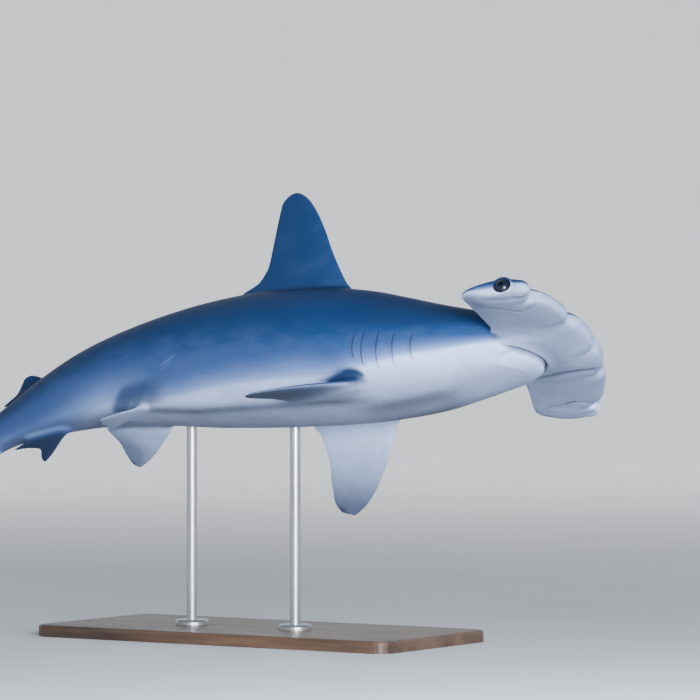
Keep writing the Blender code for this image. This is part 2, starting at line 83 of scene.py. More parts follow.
armature_stations = np.arange(0, 100.25, 0.25)
turn, climb, bank = np.radians(smooth_rows(BEARING, armature_stations)).T
armature_forward = np.stack(
    [np.cos(climb) * np.cos(turn), -np.cos(climb) * np.sin(turn), np.sin(climb)], 1
)
level_up = np.stack(
    [-np.sin(climb) * np.cos(turn), np.sin(climb) * np.sin(turn), np.cos(climb)], 1
)
level_right = np.cross(armature_forward, level_up)
bank = bank[:, None]
armature_right = level_right * np.cos(bank) + level_up * np.sin(bank)
armature_up = level_up * np.cos(bank) - level_right * np.sin(bank)
steps = (armature_forward[1:] + armature_forward[:-1]) / 2
steps *= -np.diff(armature_stations)[:, None]
armature_line = np.vstack([np.zeros(3), np.cumsum(steps, axis=0)]) * PER_CENT
shoulder_now = [np.interp(SHOULDER_STATION, armature_stations, c) for c in armature_line.T]
armature_line += np.array(SHOULDER) - np.array(shoulder_now)


def on_armature(field, station):
    return np.stack([np.interp(station, armature_stations, c) for c in field.T], -1)


def bend(points):
    """Points of station, right and up, taken to their place on the bent armature."""
    points = np.asarray(points, float)
    inside = np.clip(points[:, 0], 0, 100)
    past = ((points[:, 0] - inside) * PER_CENT)[:, None]
    world = on_armature(armature_line, inside) - on_armature(armature_forward, inside) * past
    world += on_armature(armature_right, inside) * points[:, 1:2] * PER_CENT
    return world + on_armature(armature_up, inside) * points[:, 2:3] * PER_CENT


def carry(points, station):
    """Points of station, right and up, held stiffly in the armature's frame at one station."""
    back = (points[:, 0:1] - station) * -on_armature(armature_forward, station)
    world = back + points[:, 1:2] * on_armature(armature_right, station)
    world += points[:, 2:3] * on_armature(armature_up, station)
    return on_armature(armature_line, station) + world * PER_CENT


def smooth_step(value):
    value = np.clip(value, 0, 1)
    return value * value * (3 - 2 * value)


def ramp(value, start, end):
    """Climbs softly from 0 at the start to 1 at the end, which may be the lower of the two."""
    return smooth_step((value - start) / (end - start))


def bell(value, middle, width):
    """Is 1 in the middle, and falls off softly on both sides of it."""
    return np.exp(-(((value - middle) / width) ** 2))


def window(value, start, full, fading, end):
    """Is 1 from full to fading, and 0 before the start and past the end."""
    return ramp(value, start, full) * ramp(value, end, fading)


# The trunk. A spindle of muscle under a tight hide: highest in front of the first dorsal fin,
# flatter below, and drawn in to the stalk of the tail. It is lofted through oval sections.
GIRTH = (
    (1.2, 0.35, 0.35, 0.9),
    (3, 1.1, 1.2, 2.4),
    (6, 2.1, 2.3, 3.6),
    (9, 3.1, 3.1, 4.2),
    (12, 4.0, 4.3, 4.8),
    (16, 5.1, 5.4, 5.5),
    (20, 6.1, 6.0, 6.0),
    (25, 7.0, 6.5, 6.6),
    (30, 7.4, 6.75, 6.7),
    (36, 7.4, 6.9, 6.5),
    (42, 6.9, 6.8, 6.0),
    (48, 6.1, 6.2, 5.3),
    (54, 5.2, 5.3, 4.5),
    (60, 4.3, 4.3, 3.6),
    (66, 3.2, 3.2, 2.6),
    (70, 2.5, 2.4, 1.9),
    (72, 2.2, 2.15, 1.65),
)
TRUNK_STEP = 0.5
TRUNK_SIDES = 96

form_points, form_faces = [], []


def add_form(rings, ring_shaped=False):
    """Adds a loft through closed rings, with capped ends, or closed on itself if ring-shaped."""
    rings = np.asarray(rings, float)
    count, sides = rings.shape[:2]
    first = sum(len(p) for p in form_points)
    form_points.append(rings.reshape(-1, 3))
    index = first + np.arange(count * sides).reshape(count, sides)
    far_rings = np.roll(index, -1, axis=0) if ring_shaped else index[1:]
    for near, far in zip(index, far_rings):
        quads = np.stack([near, np.roll(near, -1), np.roll(far, -1), far], 1)
        form_faces.extend(quads.tolist())
    if not ring_shaped:
        form_faces.append(index[0][::-1].tolist())
        form_faces.append(index[-1].tolist())


def trunk_distance(points):
    """How far a point lies outside the trunk's surface, in per cent."""
    high, deep, wide = smooth_rows(GIRTH, points[:, 0]).T
    right, up = points[:, 1], points[:, 2]
    height = np.where(up > 0, high, deep)
    share = np.sqrt((right / wide) ** 2 + (up / height) ** 2)
    return np.hypot(right, up) * (1 - 1 / np.maximum(share, 1e-6))


trunk_stations = np.arange(GIRTH[0][0], GIRTH[-1][0] + 0.7, TRUNK_STEP)
around = 2 * np.pi * np.arange(TRUNK_SIDES) / TRUNK_SIDES
trunk_rings = []
for station, (high, deep, wide) in zip(trunk_stations, smooth_rows(GIRTH, trunk_stations)):
    height = np.where(np.sin(around) > 0, high, deep)
    ring = [np.full(TRUNK_SIDES, station), wide * np.cos(around), height * np.sin(around)]
    trunk_rings.append(np.stack(ring, 1))
add_form(trunk_rings)

# The hammer. A flat wing of cartilage across the snout with scallops along its front margin,
# thick at the midline and full again at the eyes. It is lofted from side to side.
HAMMER_HALF_WIDTH = 13.5
HAMMER_LEVEL = -0.35
HAMMER_DROOP = 0.12
HAMMER_HALF = 1.0
MIDLINE_SWELL = 0.75
TIP_SWELL = 0.26
FRONT_STATION = 0.42
FRONT_SWEEP = 3.1
REAR_STATION = 9.45
REAR_SWEEP = 1.3
NECK_FLARE = 0.9
NECK_HALF = 4.0
EYE_SPAN = 12.6
FRONT_ROUNDING = 1.3
NOTCHES = (
    (-11.3, 0.9, 0.36),
    (-4.6, 0.65, 0.6),
    (0.4, 0.4, 0.7),
    (5.95, 0.65, 0.65),
    (11.3, 0.9, 0.36),
)
TIP_ROUNDING = 1.6
HAMMER_EDGE_HALF = 0.26


def front_margin(out):
    """The hammer's front edge: a broad arch with the scallops' notches."""
    edge = FRONT_STATION + FRONT_SWEEP * (abs(out) / EYE_SPAN) ** 1.75
    edge = edge + 0.5 * float(ramp(abs(out), 9.2, 11.4))
    for place, depth, width in NOTCHES:
        edge = edge + depth * bell(out, place, width)
    return edge


def rear_margin(out):
    """The hammer's rear edge: swept back to the tips and flared where it meets the neck."""
    out = np.abs(out)
    flare = NECK_FLARE * bell(np.maximum(0, out - NECK_HALF), 0, 0.9)
    return REAR_STATION + REAR_SWEEP * (out / 13) ** 2 + flare


def wing_level(out):
    """The height of the hammer's middle plane, which droops a little to the tips."""
    return HAMMER_LEVEL - HAMMER_DROOP * (out / HAMMER_HALF_WIDTH) ** 2


def hammer_section(out, sides=40):
    """A front-to-back section of the hammer, as points of station, right and up."""
    reach = abs(out)
    front, rear = front_margin(out), rear_margin(out)
    half = HAMMER_HALF + MIDLINE_SWELL * bell(reach, 0, 4.5)
    half += TIP_SWELL * bell(reach, EYE_SPAN, 1.4)
    past = (reach - (HAMMER_HALF_WIDTH - FRONT_ROUNDING)) / FRONT_ROUNDING
    if past > 0:
        round_off = 1 - math.sqrt(max(0, 1 - past * past))
        front += 2.0 * round_off
        half *= 1 - 0.55 * round_off
    past = max(0, reach - (HAMMER_HALF_WIDTH - TIP_ROUNDING)) / TIP_ROUNDING
    rear -= 2.0 * (1 - math.sqrt(max(0, 1 - past * past)))
    level = wing_level(out)
    share = 0.5 - 0.5 * np.cos(np.pi * np.arange(sides + 1) / sides)
    body = np.sqrt(np.maximum(0, np.sin(np.pi * share**0.6))) * (1 - 0.42 * share**2)
    blunt = np.maximum(0, np.sin(np.pi * share**0.7)) ** 0.36 * (1 - 0.3 * share**2)
    tip_part = 0.85 * float(ramp(reach, 9, 12.5))
    body = body * (1 - tip_part) + blunt * tip_part
    height = np.maximum(half * body, HAMMER_EDGE_HALF)
    to_rear = np.minimum((1 - share) * (rear - front), HAMMER_EDGE_HALF)
    height *= np.sqrt(to_rear * (2 * HAMMER_EDGE_HALF - to_rear)) / HAMMER_EDGE_HALF
    station = front + (rear - front) * share
    top = np.stack([station, np.full(sides + 1, out), level + height], 1)
    bottom = np.stack([station, np.full(sides + 1, out), level - height], 1)
    return np.vstack([top, bottom[::-1]])


span = np.linspace(-HAMMER_HALF_WIDTH, HAMMER_HALF_WIDTH, 271)
add_form([hammer_section(out) for out in span])

# The eye bulges. The hammer's tip swells round each eye: a smooth knob in front of it, and a
# thick lid that rings it. Both are modelled onto the tip before the hide is cast.
EYE_STATION = 6.2
EYE_OUT = 12.95
EYE_UP = HAMMER_LEVEL + 0.05
EYE_RADIUS = 0.86
EYE_STRETCH = 1.12
LID_REACH = EYE_RADIUS * 0.93
LID_THICK = 0.2
LID_OUT = 0.34
KNOB = (4.8, 12.65, -0.55)
KNOB_SIZE = (1.18, 0.85, 1.0)


def ball_rings(centre, size, sides=48, count=24):
    """An ellipsoid as rings across the body."""
    turn = 2 * np.pi * np.arange(sides) / sides
    rings = []
    for polar in np.pi * np.arange(1, count) / count:
        reach = math.sin(polar)
        ring = [reach * np.cos(turn), np.full(sides, math.cos(polar)), reach * np.sin(turn)]
        rings.append(np.array(centre) + np.array(size) * np.stack(ring, 1))
    return rings


tube = 2 * np.pi * np.arange(16) / 16
for side in (-1, 1):
    add_form(ball_rings((KNOB[0], side * KNOB[1], KNOB[2]), KNOB_SIZE))
    lid_rings = []
    for angle in 2 * np.pi * np.arange(64) / 64:
        reach = LID_REACH + LID_THICK * np.cos(tube)
        station = EYE_STATION + reach * EYE_STRETCH * math.cos(angle)
        out = side * (EYE_OUT + LID_OUT + LID_THICK * np.sin(tube))
        lid_rings.append(np.stack([station, out, EYE_UP + reach * math.sin(angle)], 1))
    add_form(lid_rings, ring_shaped=True)

# The fins. Thin stiff blades with a rounded front margin and a fine rear one. Each row holds
# the front point, the rear point and half the thickness, from the root to the tip. They are
# cast thick, as the hide is, and pared to their real thickness later.
FIRST_DORSAL = (
    ((28.4, 5.4), (38.4, 5.4), 0.95),
    ((28.0, 7.2), (38.8, 7.35), 0.90),
    ((29.0, 8.4), (41.9, 7.85), 0.74),
    ((30.1, 9.9), (40.0, 9.2), 0.62),
    ((31.4, 11.8), (39.3, 11.3), 0.50),
    ((33.0, 14.4), (39.35, 14.2), 0.38),
    ((34.5, 16.5), (39.4, 16.6), 0.28),
    ((35.9, 18.05), (39.35, 17.9), 0.18),
    ((36.9, 18.8), (39.05, 18.6), 0.12),
    ((37.55, 19.1), (38.6, 19.0), 0.08),
    ((37.95, 19.2), (38.2, 19.18), 0.05),
)
SECOND_DORSAL = (
    ((65.4, 1.8), (68.9, 1.8), 0.40),
    ((65.3, 3.2), (69.2, 2.75), 0.34),
    ((66.1, 3.8), (72.0, 3.1), 0.24),
    ((67.0, 4.55), (69.9, 3.7), 0.17),
    ((67.8, 5.05), (69.1, 4.7), 0.12),
    ((68.3, 5.25), (68.8, 5.15), 0.08),
)
ANAL = (
    ((62.3, 2.2), (67.4, 2.0), 0.45),
    ((61.8, 3.85), (67.6, 2.9), 0.40),
    ((63.0, 4.35), (70.6, 3.05), 0.28),
    ((64.1, 5.2), (68.2, 3.9), 0.20),
    ((65.2, 6.1), (66.6, 4.9), 0.14),
    ((66.1, 6.5), (66.5, 6.0), 0.08),
)
PECTORAL = (
    ((-0.3, -2.2), (5.4, -2.2), 1.00),
    ((0.3, 0.0), (6.0, 0.1), 0.95),
    ((1.4, 1.2), (10.7, 1.2), 0.72),
    ((2.3, 2.8), (9.9, 2.8), 0.60),
    ((3.7, 5.6), (9.75, 5.4), 0.44),
    ((5.3, 8.2), (10.1, 8.0), 0.30),
    ((7.1, 10.3), (10.25, 9.9), 0.18),
    ((8.5, 11.4), (9.8, 11.1), 0.09),
)
PELVIC = (
    ((-0.1, -2.0), (4.4, -2.0), 0.60),
    ((0.2, 0.0), (4.8, 0.0), 0.50),
    ((1.3, 1.2), (8.4, 0.5), 0.32),
    ((2.6, 2.5), (6.7, 1.9), 0.22),
    ((3.9, 3.5), (6.1, 3.0), 0.15),
    ((4.8, 4.0), (5.5, 3.8), 0.09),
)
PECTORAL_ROOT = (22.2, 5.2, -4.0)
PECTORAL_SET = {"left": (44.5, 0.5, -1), "right": (15, 4, 16)}
PECTORAL_SIZE = {"left": (1.07, 1.06), "right": (0.76, 0.91)}
PELVIC_ROOT = (49.6, 2.6, -5.5)
PELVIC_SET = {"left": (42, 11, -6), "right": (22, 22, 14)}
PELVIC_SIZE = {"left": (1.08, 1.22), "right": (0.8, 0.8)}
EDGE_HALF = 0.04
CAST_HALF = 0.21
CAST_EDGE = 0.07
SEARCH_BATCH = 20000


def foil_half(half, share, oval_part=0.0):
    """Half a blade's thickness at a share of its chord, from the front margin to the rear."""
    share = np.clip(share, 0, 1)
    foil = 1.75 * np.sqrt(share) * (1 - share) + 0.35 * share * (1 - share)
    oval = np.sqrt(np.maximum(0, 1 - (2 * share - 1) ** 2))
    body = oval_part * oval + (1 - oval_part) * foil
    return half * body + EDGE_HALF * np.where(body < 1, 1 - body, 0)


def fin_rows(rows, where):
    flat = [(k, *front, *rear, half) for k, (front, rear, half) in enumerate(rows)]
    return smooth_rows(flat, where)


class Fin:
    """A blade in its own flat frame: back along its root, out from it and across its faces."""

    def __init__(self, name, rows, origin, back, out, across, size=(1, 1), tail=False):
        self.name, self.rows, self.tail = name, rows, tail
        self.origin = np.array(origin, float)
        self.axes = np.array([back, out, across], float)
        self.size = np.array([*size, 1.0])
        self.where = np.linspace(0, len(rows) - 1, (len(rows) - 1) * 16 + 1)
        self.table = fin_rows(rows, self.where)

    def to_body(self, flat):
        return self.origin + (np.asarray(flat, float) * self.size) @ self.axes

    def to_flat(self, points):
        return ((points - self.origin) @ self.axes.T) / self.size

    def oval_part(self, where):
        return np.maximum(0, 1 - np.asarray(where) / 2) if self.tail else 0.0 * where

    def cast(self):
        chord = 0.5 - 0.5 * np.cos(np.pi * np.arange(41) / 40)
        rings = []
        for where, (fa, fb, ra, rb, half) in zip(self.where, self.table):
            side = np.maximum(foil_half(half, chord, self.oval_part(where)), CAST_HALF)
            length = max(math.hypot(ra - fa, rb - fb), 1e-6)
            stretched = chord + CAST_EDGE / length * (2 * chord - 1)
            back, out = fa + (ra - fa) * stretched, fb + (rb - fb) * stretched
            one = np.stack([back, out, side], 1)
            other = np.stack([back, out, -side], 1)
            rings.append(self.to_body(np.vstack([one, other[::-1]])))
        add_form(rings)

    def measure(self, points):
        """For body points: the row, the share of the chord, how far outside the outline, and
        the point's place across the blade. The nearest of the rows' chords is looked for."""
        flat = self.to_flat(points)
        front, rear = self.table[:, :2], self.table[:, 2:4]
        chord = rear - front
        length2 = (chord**2).sum(1)
        nearest = np.empty(len(flat), int)
        for first in range(0, len(flat), SEARCH_BATCH):
            part = slice(first, first + SEARCH_BATCH)
            rel_a = flat[part, None, 0] - front[None, :, 0]
            rel_b = flat[part, None, 1] - front[None, :, 1]
            t = np.clip((rel_a * chord[:, 0] + rel_b * chord[:, 1]) / length2, 0, 1)
            gap = (rel_a - t * chord[:, 0]) ** 2 + (rel_b - t * chord[:, 1]) ** 2
            nearest[part] = gap.argmin(1)

        def beside(row):
            rel = flat[:, :2] - front[row]
            return (chord[row, 0] * rel[:, 1] - chord[row, 1] * rel[:, 0]) / np.sqrt(length2[row])

        here = beside(nearest)
        last = len(self.where) - 1
        ahead, back = beside(np.minimum(nearest + 1, last)), beside(np.maximum(nearest - 1, 0))
        go_on, go_back = here * ahead < 0, here * back < 0
        step = np.where(go_on, here / np.where(go_on, here - ahead, 1), 0)
        step = np.where(go_back & ~go_on, -here / np.where(go_back, here - back, 1), step)
        where = np.interp(np.clip(nearest + step, 0, last), np.arange(last + 1), self.where)
        fa, fb, ra, rb, half = fin_rows(self.rows, where).T
        length2 = np.maximum((ra - fa) ** 2 + (rb - fb) ** 2, 1e-9)
        share = ((flat[:, 0] - fa) * (ra - fa) + (flat[:, 1] - fb) * (rb - fb)) / length2
        length = np.sqrt(length2)
        off = np.abs((ra - fa) * (flat[:, 1] - fb) - (rb - fb) * (flat[:, 0] - fa)) / length
        outside = np.maximum(off, np.maximum(-share, share - 1) * length)
        return where, share, outside, half, flat[:, 2]


def paired_fin(name, rows, root, side, settings, size):
    """A fin in a flat frame at its root, drooped, toed in and tipped."""
    droop, toe, lift = np.radians(settings)
    sign = 1 if side == "right" else -1
    forward, right, rise = np.array([[-1, 0, 0], [0, sign, 0], [0, 0, 1]], float)
    away = right * math.cos(droop) - rise * math.sin(droop)
    across = rise * math.cos(droop) + right * math.sin(droop)
    back = -forward * math.cos(toe) - away * math.sin(toe)
    away = away * math.cos(toe) - forward * math.sin(toe)
    chord = back * math.cos(lift) - across * math.sin(lift)
    across = across * math.cos(lift) + back * math.sin(lift)
    origin = (root[0], sign * root[1], root[2])
    return Fin(name, rows, origin, chord, away, across, size)


upright = ((1, 0, 0), (0, 0, 1), (0, 1, 0))
hanging = ((1, 0, 0), (0, 0, -1), (0, 1, 0))
fins = [
    Fin("first_dorsal", FIRST_DORSAL, (0, 0, 0), *upright),
    Fin("second_dorsal", SECOND_DORSAL, (0, 0, 0), *upright),
    Fin("anal", ANAL, (0, 0, 0), *hanging),
]
for side in ("left", "right"):
    pectoral = ("pectoral_" + side, PECTORAL, PECTORAL_ROOT, side)
    fins.append(paired_fin(*pectoral, PECTORAL_SET[side], PECTORAL_SIZE[side]))
    pelvic = ("pelvic_" + side, PELVIC, PELVIC_ROOT, side)
    fins.append(paired_fin(*pelvic, PELVIC_SET[side], PELVIC_SIZE[side]))

# The tail. The backbone turns up into the long upper lobe, which ends in a small flap behind
# a notch, and a short lower lobe hangs from it. It is cut off in the photograph.
UPPER_LOBE = (
    ((72.0, 2.1), (72.0, -2.1), 1.60),
    ((74.6, 2.45), (76.0, -2.2), 1.28),
    ((78.2, 3.6), (79.9, -2.1), 0.95),
    ((81.3, 5.0), (82.0, 0.9), 0.72),
    ((85.6, 7.1), (86.3, 3.5), 0.54),
    ((90.0, 9.2), (90.8, 6.1), 0.40),
    ((93.8, 11.0), (94.9, 8.4), 0.28),
    ((95.2, 11.7), (95.9, 9.6), 0.22),
    ((96.4, 12.3), (97.4, 8.9), 0.18),
    ((98.4, 13.2), (99.2, 11.4), 0.13),
    ((99.6, 13.7), (99.9, 13.2), 0.08),
)
LOWER_LOBE = (
    ((72.6, -0.6), (79.4, -0.6), 0.75),
    ((73.2, -2.6), (79.5, -2.5), 0.70),
    ((75.1, -4.9), (79.3, -4.4), 0.50),
    ((77.5, -7.9), (80.2, -7.4), 0.32),
    ((79.3, -10.1), (80.9, -9.7), 0.18),
    ((80.4, -10.9), (80.9, -10.8), 0.09),
)
upper_lobe = Fin("upper_lobe", UPPER_LOBE, (0, 0, 0), *upright, tail=True)
lower_lobe = Fin("lower_lobe", LOWER_LOBE, (0, 0, 0), *upright)
for fin in (*fins, upper_lobe, lower_lobe):
    fin.cast()

# The hide. One unbroken skin over the whole animal. The forms are cast together, the grain of
# the casting is rubbed down, and every inner corner is filled to a soft curve.
CAST_GRAIN = 0.16
RUB_PASSES = 10
RUB_IN = 0.5
RUB_OUT = -0.53


def plain_mesh(name, points, faces):
    mesh = bpy.data.meshes.new(name)
    mesh.from_pydata(points, [], faces)
    mesh.update()
    made = bpy.data.objects.new(name, mesh)
    bpy.context.scene.collection.objects.link(made)
    return made


def settle(obj):
    """Replaces an object's mesh by what its modifiers make of it."""
    bpy.context.view_layer.update()
    graph = bpy.context.evaluated_depsgraph_get()
    mesh = bpy.data.meshes.new_from_object(obj.evaluated_get(graph))
    obj.modifiers.clear()
    old, obj.data = obj.data, mesh
    bpy.data.meshes.remove(old)
    return mesh


def read_rows(values, name, width=3, kind=np.float32):
    flat = np.empty(len(values) * width, kind)
    values.foreach_get(name, flat)
    return flat.reshape(-1, width)


def read_points(mesh):
    return read_rows(mesh.vertices, "co").astype(float)


def read_normals(mesh):
    return read_rows(mesh.vertex_normals, "vector").astype(float)


def read_edges(mesh):
    return read_rows(mesh.edges, "vertices", 2, np.int32)


def write_points(mesh, points):
    mesh.vertices.foreach_set("co", points.astype(np.float32).ravel())
    mesh.update()


class Neighbours:
    """The mean of each point's neighbours, along the mesh's edges."""

    def __init__(self, mesh):
        self.ends = read_edges(mesh)
        self.count = len(mesh.vertices)
        self.degree = np.bincount(self.ends.ravel(), minlength=self.count)

    def mean(self, values):
        one, two = self.ends.T
        total = np.empty_like(values)
        for axis in range(values.shape[1]):
            column = values[:, axis]
            total[:, axis] = np.bincount(one, column[two], self.count)
            total[:, axis] += np.bincount(two, column[one], self.count)
        return total / self.degree[:, None]


def rub_down(points, near, passes, share=1.0):
    """Smooths points without shrinking the form, by steps in and slightly longer steps out."""
    for _ in range(passes):
        for step in (RUB_IN, RUB_OUT):
            points += step * share * (near.mean(points) - points)


skin = plain_mesh("skin", np.vstack(form_points), form_faces)
casting = skin.modifiers.new("casting", "REMESH")
casting.mode = "VOXEL"
casting.voxel_size = CAST_GRAIN
mesh = settle(skin)
points = read_points(mesh)
near = Neighbours(mesh)
rub_down(points, near, RUB_PASSES)


def eye_distance(points):
    """How far a point is from the eye's middle, seen from the side, in eye radii."""
    rise = points[:, 2] - EYE_UP
    return np.hypot((points[:, 0] - EYE_STATION) / EYE_STRETCH, rise) / EYE_RADIUS


# The thin rear edge of the hammer and the hide behind it are rubbed down further, because the
# grain of the casting shows most there.
REAR_PASSES = 50
at_rear = ramp(points[:, 0] - rear_margin(points[:, 1]), -1.6, -1)
at_rear *= smooth_step((rear_margin(points[:, 1]) + 1.8 - points[:, 0]) / 0.6)
at_rear *= ramp(np.abs(points[:, 1]), 3.4, 4.2)
rub_down(points, near, REAR_PASSES, at_rear[:, None])

# Inner corners are filled to soft curves, but not those beside the eyes, and only a little in
# the fold of the left underside, which stays sharp.
FILL_PASSES = 60
FILL_RATE = 0.6
FILL_IN_FOLD = 0.25
FULL_HOLLOW = 0.004
PASSES_PER_LOOK = 4
filled = ramp(eye_distance(points), 1.5, 3)
filled = np.where(np.abs(points[:, 1]) > 11.5, filled, 1.0)
left_fold = (points[:, 0] < 9.0) & (points[:, 2] < -0.8) & (points[:, 1] < -2.0)
filled = np.where(left_fold, filled * FILL_IN_FOLD, filled)
for k in range(FILL_PASSES):
    if k % PASSES_PER_LOOK == 0:
        write_points(mesh, points)
        normals = read_normals(mesh)
    pull = near.mean(points) - points
    hollow = (pull * normals).sum(1)
    points += pull * (FILL_RATE * ramp(hollow, 0, FULL_HOLLOW) * filled)[:, None]
write_points(mesh, points)

# Round the eyes, mouth, nostrils and gills the casting is worked finer, so that lids, lips
# and slits have clean edges.
GILLS = (
    (17.5, 0.2, -2.6),
    (19.2, 0.55, -2.85),
    (20.7, 0.7, -2.9),
    (22.1, 0.65, -2.7),
    (23.0, 0.45, -2.1),
)
MOUTH_FRONT = 5.75
MOUTH_SWEEP = 2.5
MOUTH_HALF = 3.2
MOUTH_CURVE = 2.2
HEAD_END = 12.4
FINE_PASSES = 3


def mouth_line(right):
    """The station of the mouth's line at a place across the body."""
    return MOUTH_FRONT + MOUTH_SWEEP * (np.abs(right) / MOUTH_HALF) ** MOUTH_CURVE


def fine_work(points):
    """Marks the places that need a finer mesh."""
    station, right, up = points.T
    out = np.abs(right)
    at_eye = (eye_distance(points) < 1.7) & (out > 11.4)
    at_mouth = (up < -0.8) & (out < 4.8) & (np.abs(station - mouth_line(right)) < 1.1)
    at_nostril = (up < 0.1) & (out > 8.8) & (out < 12.8) & (station < 8.2)
    at_gills = (station > 16.6) & (station < 24.2) & (up > -3.6) & (up < 1.5) & (out > 3)
    return at_eye | at_mouth | at_nostril | at_gills


def refine(mesh, marks):
    """Parts every face in the marked places in four."""
    wanted = marks(read_points(mesh))
    both = wanted[read_edges(mesh)].all(1)
    shell = bmesh.new()
    shell.from_mesh(mesh)
    shell.edges.ensure_lookup_table()
    chosen = [shell.edges[i] for i in np.nonzero(both)[0]]
    bmesh.ops.subdivide_edges(shell, edges=chosen, cuts=1, use_grid_fill=True)
    shell.to_mesh(mesh)
    shell.free()
    mesh.update()


for marks in (lambda p: (p[:, 0] < HEAD_END) | fine_work(p), fine_work):
    refine(mesh, marks)
    points = read_points(mesh)
    near = Neighbours(mesh)
    rub_down(points, near, FINE_PASSES)
    write_points(mesh, points)

# The fins are pared. The casting can't hold a blade thinner than its own grain, so every fin
# is cast thick, and here its faces are taken down to its real thickness and its fine edges.
OUTSIDE_NEAR = 0.5
FACE_NEAR = 2.0
BOX_MARGIN = 1
ROOT_BLEND = (0.15, 1.05)
STIFF_FROM = 1.6
fin_weight, fin_share, fin_row, fin_side = np.zeros((4, len(points)))
stiff, belongs = {}, {}
from_trunk = trunk_distance(points)
for fin in fins:
    flat = fin.to_flat(points)
    inside = (np.abs(flat[:, 2]) < FACE_NEAR) & (from_trunk > 0.02)
    for axis in (0, 1):
        edges = fin.table[:, [axis, axis + 2]]
        inside &= flat[:, axis] > edges.min() - BOX_MARGIN
        inside &= flat[:, axis] < edges.max() + BOX_MARGIN
    chosen = np.nonzero(inside)[0]
    where, share, outside, half, across = fin.measure(points[chosen])
    real = foil_half(half, share)
    cast = np.maximum(real, CAST_HALF)
    is_fin = smooth_step((OUTSIDE_NEAR - outside) / 0.25)
    is_fin *= smooth_step((cast + 0.45 - np.abs(across)) / 0.3)
    pared = is_fin * ramp(from_trunk[chosen], *ROOT_BLEND)
    drop = across * (1 - real / cast) * pared
    points[chosen] -= fin.axes[2] * drop[:, None]
    keep = is_fin * ramp(from_trunk[chosen], -0.1, 0.7)
    fin_weight[chosen] = np.maximum(fin_weight[chosen], keep)
    kept = chosen[keep > 0.01]
    fin_share[kept] = share[keep > 0.01]
    fin_row[kept] = (where / (len(fin.rows) - 1))[keep > 0.01]
    fin_side[kept] = (across / cast)[keep > 0.01]
    stiff[fin.name] = np.zeros(len(points))
    stiff[fin.name][chosen] = is_fin * smooth_step(from_trunk[chosen] / STIFF_FROM)
    belongs[fin.name] = np.zeros(len(points), bool)
    belongs[fin.name][chosen] = keep > 0

# The tail is pared in the same way. Its lobes and the stalk run into one another, so each place
# is taken down by the mean of what the lobes near it ask for.
TAIL_START = 71.5
TAIL_FREE = 76.5
chosen = np.nonzero(points[:, 0] > TAIL_START)[0]
there = points[chosen]
thinning, claims = np.zeros(len(chosen)), np.full(len(chosen), 1e-6)
best = np.zeros(len(chosen))
for lobe in (upper_lobe, lower_lobe):
    where, share, outside, half, across = lobe.measure(there)
    thick = foil_half(half, share, lobe.oval_part(where))
    claim = ramp(outside, 0.7, 0.1)
    thinning += claim * thick / np.maximum(thick, CAST_HALF)
    claims += claim
    owns = claim > best
    best = np.maximum(best, claim)
    fin_share[chosen] = np.where(owns, share, fin_share[chosen])
    fin_row[chosen] = np.where(owns, where / (len(lobe.rows) - 1), fin_row[chosen])
ratio = np.where(claims > 0.01, thinning / claims, 1)
tail_part = ramp(there[:, 0], TAIL_START, TAIL_FREE)
points[chosen, 1] *= 1 - tail_part * (1 - ratio)
fin_weight[chosen] = np.maximum(fin_weight[chosen], ramp(there[:, 0], 74, 79))

# The face below: the lower jaw and the mouth. The jaw swells below the snout like the nose of a
# bullet. In front of it the snout's underside dips, and a narrow gap runs between them, darkened
# with painted shadow.
JAW_RISE = 0.62
JAW_REACH = 1.35
JAW_HALF = 4.1
SNOUT_DIP = 0.28
GAP_DEPTH = 0.36


def look_over():
    """Sets the hide's points, and gives its normals and the three coordinates."""
    write_points(mesh, points)
    return read_normals(mesh), *points.T


normals, station, right, up = look_over()
out = np.abs(right)
line = mouth_line(right)
tilt = MOUTH_SWEEP * MOUTH_CURVE / MOUTH_HALF * (out / MOUTH_HALF) ** (MOUTH_CURVE - 1)
mouth_off = (station - line) / np.sqrt(1 + tilt**2)
below = ramp(up, -0.6, -1.1)
across_mouth = ramp(out, 3.7, 3)
toward_chest = ramp(station, 13.5, 8)
rise_share = np.clip(mouth_off / JAW_REACH, 0, 1)
jaw_rise = JAW_RISE * np.sqrt(1 - (1 - rise_share) ** 2) * toward_chest
jaw_rise *= np.maximum(0, 1 - (out / JAW_HALF) ** 2) ** 0.6
dip = SNOUT_DIP * bell(np.minimum(mouth_off, 0), 0, 1.5) * (mouth_off < JAW_REACH)
dip *= ramp(out, 4.2, 2.6) * (1 - rise_share)
gap = GAP_DEPTH * bell(mouth_off, -0.02, 0.13) * across_mouth
points[:, 2] += (dip - jaw_rise) * below
points += normals * (-gap * below * toward_chest)[:, None]
# What the hide's colours need to know of each point, by name
# Painted shadow along the mouth's gap
skin_marks = {"mouth_shadow": bell(mouth_off, -0.05, 0.2) * across_mouth * below}
